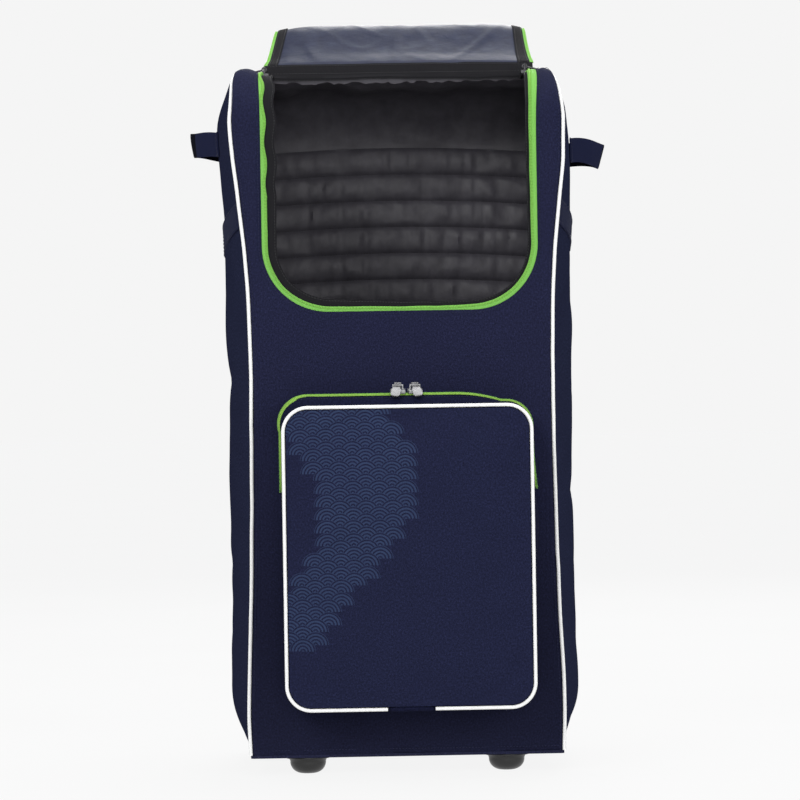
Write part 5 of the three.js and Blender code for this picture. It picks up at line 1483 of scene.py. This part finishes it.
def make_feet():
    """Domed feet and the heads of their screws."""
    for name, side in SIDES:
        centre = np.array([side * FOOT_SPACING / 2, FRONT_Y + FOOT_SETBACK, 0.0])
        swell = FOOT_RADIUS - FOOT_FLAT_RADIUS
        dome = [(FOOT_FLAT_RADIUS + swell * math.cos(a), -FOOT_HEIGHT * (0.34 + 0.66 * math.sin(a)))
                for a in np.linspace(0, math.pi / 2, 16)]
        edge = rounded([(0.01, -FIT), (FOOT_FLANGE_RADIUS, -FIT), (FOOT_FLANGE_RADIUS, -2.3),
                        (FOOT_RADIUS + 1.2, -3.2), (FOOT_RADIUS, -6.5)], 0.8)
        hole = [(5.4, -FOOT_HEIGHT), (4.6, -FOOT_HEIGHT + 0.5), (4.5, -FOOT_HEIGHT + 3.9),
                (0.01, -18.1)]
        add_turned(f"foot_dome_{name}", edge + dome + hole, centre, 2, black_plastic,
                   [f"foot_{name}"])
        head = [(0.01, -18.4), (4.2, -18.4), (4.2, -20.2), (3.9, -20.9), (3.0, -21.4), (1.4, -21.4),
                (1.0, -20.4), (0.01, -20.4)]
        add_turned(f"foot_screw_head_{name}", head, centre, 2, screw_steel,
                   [f"foot_screw_{name}"], sides=32)


def make_wheels():
    """Grooved wheels, between housings and on axles that keep their solids."""
    z = WHEEL_RADIUS - FOOT_HEIGHT
    for name, side in SIDES:
        centre = np.array([side * WHEEL_SPACING / 2, BACK_Y - WHEEL_SETBACK, z])
        half, hub, bore = WHEEL_HALF_WIDTH, WHEEL_HUB_HALF, WHEEL_BORE
        side_cut = [(9, hub - 0.3), (9, half - 2.5), (11, half - 4), (20, half - 4),
                    (22, half - 0.6), (26, half), (WHEEL_RADIUS - 0.9, half - 3.2),
                    (WHEEL_RADIUS, half - 6)]
        outer = rounded([(bore, hub)] + side_cut, 0.9, 4)[:-1]
        groove = WHEEL_RADIUS - 0.8
        tread = [(WHEEL_RADIUS, 6), (groove, 5.4), (groove, 4.6), (WHEEL_RADIUS, 4)]
        right = outer + [(WHEEL_RADIUS, half - 6)] + tread
        left = [(r, -h) for r, h in reversed(right)]
        add_turned(f"wheel_tyre_{name}", right + left + [right[0]], centre, 0, wheel_rubber,
                   [f"wheel_{name}"], body=f"wheel_{name}_body", sharp=30)
        carry(f"wheel_housing_{name}", black_plastic)
        carry(f"wheel_axle_{name}", screw_steel)


def soften(node, name, finish, slot, body, edge):
    """A cast piece in the shape of its solid, with its edges rounded off."""
    form = bmesh.new()
    form.from_mesh(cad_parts[node].data)
    bmesh.ops.remove_doubles(form, verts=form.verts, dist=1e-6)
    bmesh.ops.dissolve_limit(form, angle_limit=math.radians(2), verts=form.verts, edges=form.edges)
    corners = [e for e in form.edges if e.is_manifold and e.calc_face_angle(0) > math.radians(25)]
    bmesh.ops.bevel(form, geom=corners, offset=edge * MM, segments=3, profile=0.6, affect="EDGES",
                    clamp_overlap=True)
    bmesh.ops.triangulate(form, faces=form.faces)
    mesh = bpy.data.meshes.new(name)
    form.to_mesh(mesh)
    form.free()
    mesh.materials.append(finish)
    mesh.polygons.foreach_set("material_index", [0] * len(mesh.polygons))
    mesh.polygons.foreach_set("use_smooth", [True] * len(mesh.polygons))
    mesh.set_sharp_from_angle(angle=math.radians(45))
    piece = add_object(name, mesh)
    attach(piece, body)
    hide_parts(node)


def make_sliders():
    """Sliders of the zips and their pulls."""
    for group, runner, tab, slot in (
        ("pocket", bright_metal, pull_metal_painted_shade, "bright_metal"),
        ("main", dark_metal, dark_metal, "dark_metal"),
    ):
        for name, _ in SIDES:
            part = f"{group}_{name}"
            soften(f"{part}_slider", f"{part}_zip_runner", runner, slot, "bag", 0.5)
            soften(f"{part}_pull", f"{part}_zip_tab", tab, slot, f"{part}_pull_body", 0.4)


def make_seam_stitches(on_cloth):
    """Stitches beside the side seams, the base's seams and the opening."""
    lines = [on_cloth]
    for _, side in SIDES:
        lines.append(seam_line(side, SEAM_INSET + 2.6, 0.25))
    for run in (LOW_RUN + 5.5, TOTAL_RUN - LOW_RUN - 6):
        x = np.linspace(-1, 1, 60) * (seam_half(run) - SEAM_INSET - 5)
        lines.append((shell_point(x, run, 0.25), out_at(run + 0 * x)))
    add_beads("seam_stitches", lines, 4.0, 3.2, 0.8, 0.6, navy_thread)


def make_stage():
    """Pale floor, soft lights and the camera."""
    verts = [(x, y, 0.0) for y in (-40.0, 40.0) for x in (-40.0, 40.0)]
    mesh = bpy.data.meshes.new("studio_floor")
    mesh.from_pydata(verts, [], [(0, 1, 3, 2)])
    paper = Finish("studio_paper", 0.95, specular=0.05)
    tone = paper.noise(paper.where(), 2.0, 2.0)
    paper_base = paper.ramp(tone, [(0.3, (0.034, 0.034, 0.034)), (0.7, (0.038, 0.038, 0.038))])
    paper.shader.inputs["Emission Color"].default_value = (1.0, 1.0, 1.0, 1)
    paper.shader.inputs["Emission Strength"].default_value = FLOOR_GLOW
    mesh.materials.append(paper.done(paper_base))
    floor = add_object("studio_floor", mesh)
    world = bpy.data.worlds.new("studio_air")
    world.use_nodes = True
    tree = world.node_tree
    seen = tree.nodes["Background"]
    seen.inputs["Color"].default_value = (BACKDROP, BACKDROP, BACKDROP, 1)
    lit = tree.nodes.new("ShaderNodeBackground")
    lit.inputs["Color"].default_value = (0.96, 0.98, 1.0, 1)
    lit.inputs["Strength"].default_value = AIR_LIGHT
    either, ray = tree.nodes.new("ShaderNodeMixShader"), tree.nodes.new("ShaderNodeLightPath")
    tree.links.new(ray.outputs["Is Camera Ray"], either.inputs[0])
    tree.links.new(lit.outputs[0], either.inputs[1])
    tree.links.new(seen.outputs[0], either.inputs[2])
    tree.links.new(either.outputs[0], tree.nodes["World Output"].inputs["Surface"])
    bpy.context.scene.world = world
    for name, at, aim, size, power in (
        ("key_panel", (-2.0, -3.4, 2.6), (0, 0, 0.5), 1.8, 95),
        ("fill_panel", (2.5, -3.0, 1.5), (0, 0, 0.5), 1.8, 50),
        ("high_panel", (0.1, 0.3, 3.4), (0, 0, 0.6), 1.8, 70),
        ("front_panel_light", (0.2, -5.4, 1.2), (0, 0, 0.5), 2.0, 60),
        ("rear_panel", (0.8, 3.6, 2.4), (0, 0, 0.5), 2.0, 70),
    ):
        lamp = bpy.data.lights.new(name, "AREA")
        lamp.energy, lamp.size = power, size
        light = add_object(name, lamp)
        light.location = at
        light.rotation_euler = (Vector(aim) - Vector(at)).to_track_quat("-Z", "Y").to_euler()
    bpy.context.scene.view_settings.view_transform = "Standard"
    camera_data = bpy.data.cameras.new("photo_camera")
    camera_data.lens, camera_data.sensor_width = CAMERA_LENS, 36.0
    camera_data.clip_start, camera_data.clip_end = 0.1, 120.0
    camera = add_object("photo_camera", camera_data)
    front = (FRONT_Y + SHIFT[1]) * MM
    camera.location = (-0.12, front - CAMERA_DISTANCE, (CAMERA_HEIGHT + SHIFT[2]) * MM)
    aim = Vector((-0.003, front, camera.location.z))
    facing = (aim - camera.location).to_track_quat("-Z", "Y").to_matrix()
    roll = Matrix.Rotation(math.radians(CAMERA_ROLL), 3, "Z")
    camera.rotation_euler = (facing @ roll).to_euler()
    bpy.context.scene.camera = camera


make_stage()
make_front()
make_top_and_back()
make_sides()
carry("bottom_panel", base_cloth)
make_piping()
cloth_line, tape_line = make_opening_trim()
quilt_lines = make_back_lining()
lid_lines = make_lid()
band_lines = make_hinge_band()
make_pocket_strip()
make_pocket_face()
make_pocket_piping()
zip_lines = make_pocket_zip()
make_webbing()
make_feet()
make_wheels()
make_sliders()
make_seam_stitches(cloth_line)
add_beads("pocket_stitches", zip_lines, 3.6, 2.9, 0.8, 0.6, navy_thread)
add_beads("lining_stitches", quilt_lines + lid_lines + band_lines + [tape_line], 3.8, 3.0, 0.8, 0.6,
          black_thread)
